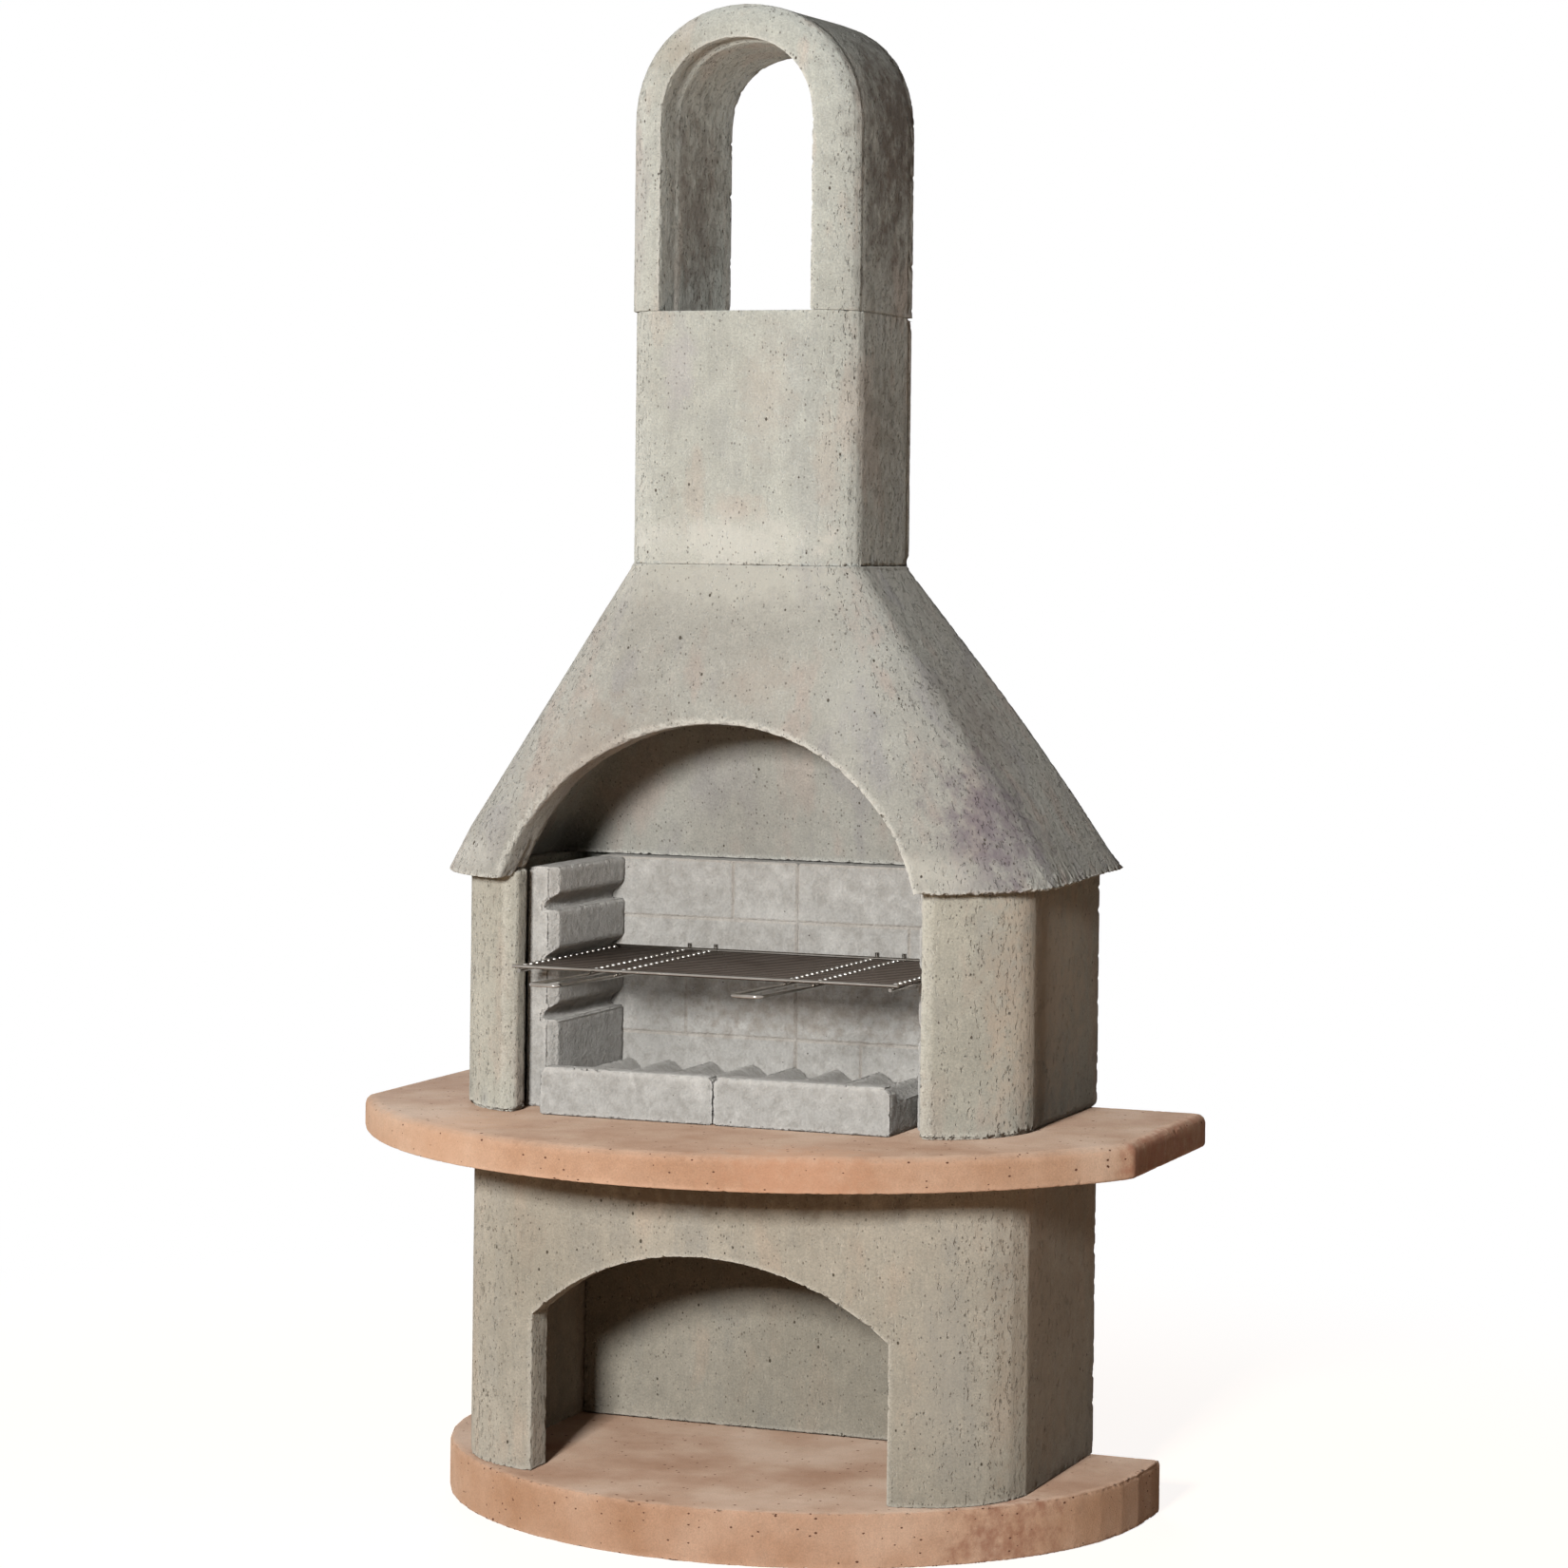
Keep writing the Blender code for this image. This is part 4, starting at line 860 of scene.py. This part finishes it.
def coursedBrick(side):  # the moulded courses stay crisp; lime dust lies in the lines between them
    node = "back_brick_" + side
    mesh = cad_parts[node].data.copy()
    mesh.materials.clear()
    mesh.materials.append(finishes["firebrick"])
    mesh.materials.append(jointFinish)
    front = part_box(node)[0].y
    for face in mesh.polygons:
        sunk = face.center.y > front + coursing["sunk"] * millimetre
        face.material_index = int(sunk and face.normal.y < -coursing["ahead"])
    piece = bpy.data.objects.new("backBrick" + side.title(), mesh)
    layout.objects.link(piece)
    mesh.shade_smooth()
    mesh.set_sharp_from_angle(angle=math.radians(coursing["crease"]))
    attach(piece, "masonry")
    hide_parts(node)


coursedBrick("left")
coursedBrick("right")
print("masonry done")


# Grate: drawn wire, bent and spot-welded, then plated

grate = {
    "handlePlace": 0.1377, "handleWidth": 0.039, "reach": 0.190, "rise": 0.004, "corner": 9, "turns": 6,
    "hookHeight": 0.013,
    "weld": (3.3, 2.9, 2.3),  # half sizes of a nugget, mm
    "weldRise": 0.3, "weldVaries": 0.18,  # shares of the bar's thickness and of the nugget's size
    "weldScatter": (90, 1.7, 3.1),  # how fast that size changes along a bar and from bar to bar, and its seed
}
bendShare = 0.49  # of a straight stretch, that the bend at its end may take


def rounded(corners, radius, turns):  # a line of points with each corner rounded
    made = [Vector(corners[0])]
    for before, at, after in zip(corners, corners[1:], corners[2:]):
        before, at, after = Vector(before), Vector(at), Vector(after)
        reach = min(radius, (before - at).length * bendShare, (after - at).length * bendShare)
        start, end = at + (before - at).normalized() * reach, at + (after - at).normalized() * reach
        for step in range(turns + 1):
            share = step / turns
            made.append(start.lerp(at, share).lerp(at.lerp(end, share), share))
    made.append(Vector(corners[-1]))
    return made


def wire(name, points, thickness, nodes, finish=None):
    curve = bpy.data.curves.new(name, "CURVE")
    curve.dimensions, curve.bevel_depth, curve.bevel_resolution = "3D", thickness / 2, 3
    curve.use_fill_caps = True
    spline = curve.splines.new("POLY")
    spline.points.add(len(points) - 1)
    for target, point in zip(spline.points, points):
        target.co = (*point, 1)
    bent = bpy.data.objects.new(name + "Line", curve)
    layout.objects.link(bent)
    mesh = bpy.data.meshes.new_from_object(bent.evaluated_get(bpy.context.evaluated_depsgraph_get()))
    bpy.data.objects.remove(bent)
    mesh.name = name
    mesh.shade_smooth()
    mesh.materials.clear()
    mesh.materials.append(finish or finishes["chromed_wire"])
    piece = bpy.data.objects.new(name, mesh)
    layout.objects.link(piece)
    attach(piece, "grate")
    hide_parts(*nodes)


def straightWire(name, node, axis, finish=None):
    low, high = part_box(node)
    middle = (low + high) / 2
    thickness = min(high - low)
    ends = []
    for end in (low, high):
        point = middle.copy()
        point[axis] = end[axis]
        ends.append(point)
    wire(name, ends, thickness, [node], finish)
    return middle, thickness


rods = {}
for side in ("left", "right"):
    rods[side] = straightWire("grateRod" + side.title(), "grate_side_rod_" + side, 1)
for end in ("front", "rear"):
    rods[end] = straightWire("grateRod" + end.title(), "grate_" + end + "_rod", 0)
barCount = sum(name.startswith("grate_bar_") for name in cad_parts)
bars = [straightWire(f"grateBar{number:02d}", f"grate_bar_{number:02d}", 0, barTintAndReflectionFinish)
        for number in range(1, barCount + 1)]
rodThickness = rods["front"][1]
frontPlace, rearPlace = rods["front"][0].y, rods["rear"][0].y
runLevel, crossLevel = rods["left"][0].z, rods["front"][0].z


def bendHandle(side, sign):  # one wire: hooked up behind, forward under the bars, round the grip and back
    leg = grate["handleWidth"] / 2
    middle = sign * grate["handlePlace"]
    tip = frontPlace - grate["reach"]
    hook = crossLevel - runLevel
    half = [(leg, rearPlace + hook, runLevel + grate["hookHeight"]), (leg, rearPlace + hook, runLevel),
            (leg, frontPlace - 2 * rodThickness, runLevel), (leg, tip, runLevel + grate["rise"])]
    path = [(middle + x, y, z) for x, y, z in half]
    path += [(middle - x, y, z) for x, y, z in reversed(half)]
    wire("grateHandle" + side.title(), rounded(path, grate["corner"] * millimetre, grate["turns"]), rodThickness,
         ["grate_handle_" + side])


bendHandle("left", -1)
bendHandle("right", 1)


def weldNuggetsWithGlints():  # a bead where each crossing was squeezed and melted together, coloured near white as a painted glint
    form = bmesh.new()
    across, along, tall = (half * millimetre for half in grate["weld"])
    legs = [sign * (grate["handlePlace"] + offset * grate["handleWidth"] / 2) for sign in (-1, 1) for offset in (-1, 1)]
    lines = legs + [rods["left"][0].x, rods["right"][0].x]
    crossings = [(middle.y, middle.z + grate["weldRise"] * thickness) for middle, thickness in bars]
    byBar, byRow, seed = grate["weldScatter"]
    for x in lines:
        for index, (y, z) in enumerate(crossings):
            size = 1 + grate["weldVaries"] * noise.noise((x * byBar, index * byRow, seed))
            place = Matrix.Translation((x, y, z)) @ Matrix.Diagonal((across * size, along * size, tall * size, 1))
            bmesh.ops.create_icosphere(form, subdivisions=2, radius=1, matrix=place)
    mesh = bpy.data.meshes.new("grateWeldsWithGlints")
    form.to_mesh(mesh)
    form.free()
    mesh.shade_smooth()
    mesh.materials.append(weldGlintFinish)
    piece = bpy.data.objects.new("grateWeldsWithGlints", mesh)
    layout.objects.link(piece)
    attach(piece, "grate")


weldNuggetsWithGlints()
print("grate done:", len(bars), "bars")


print("scene built")
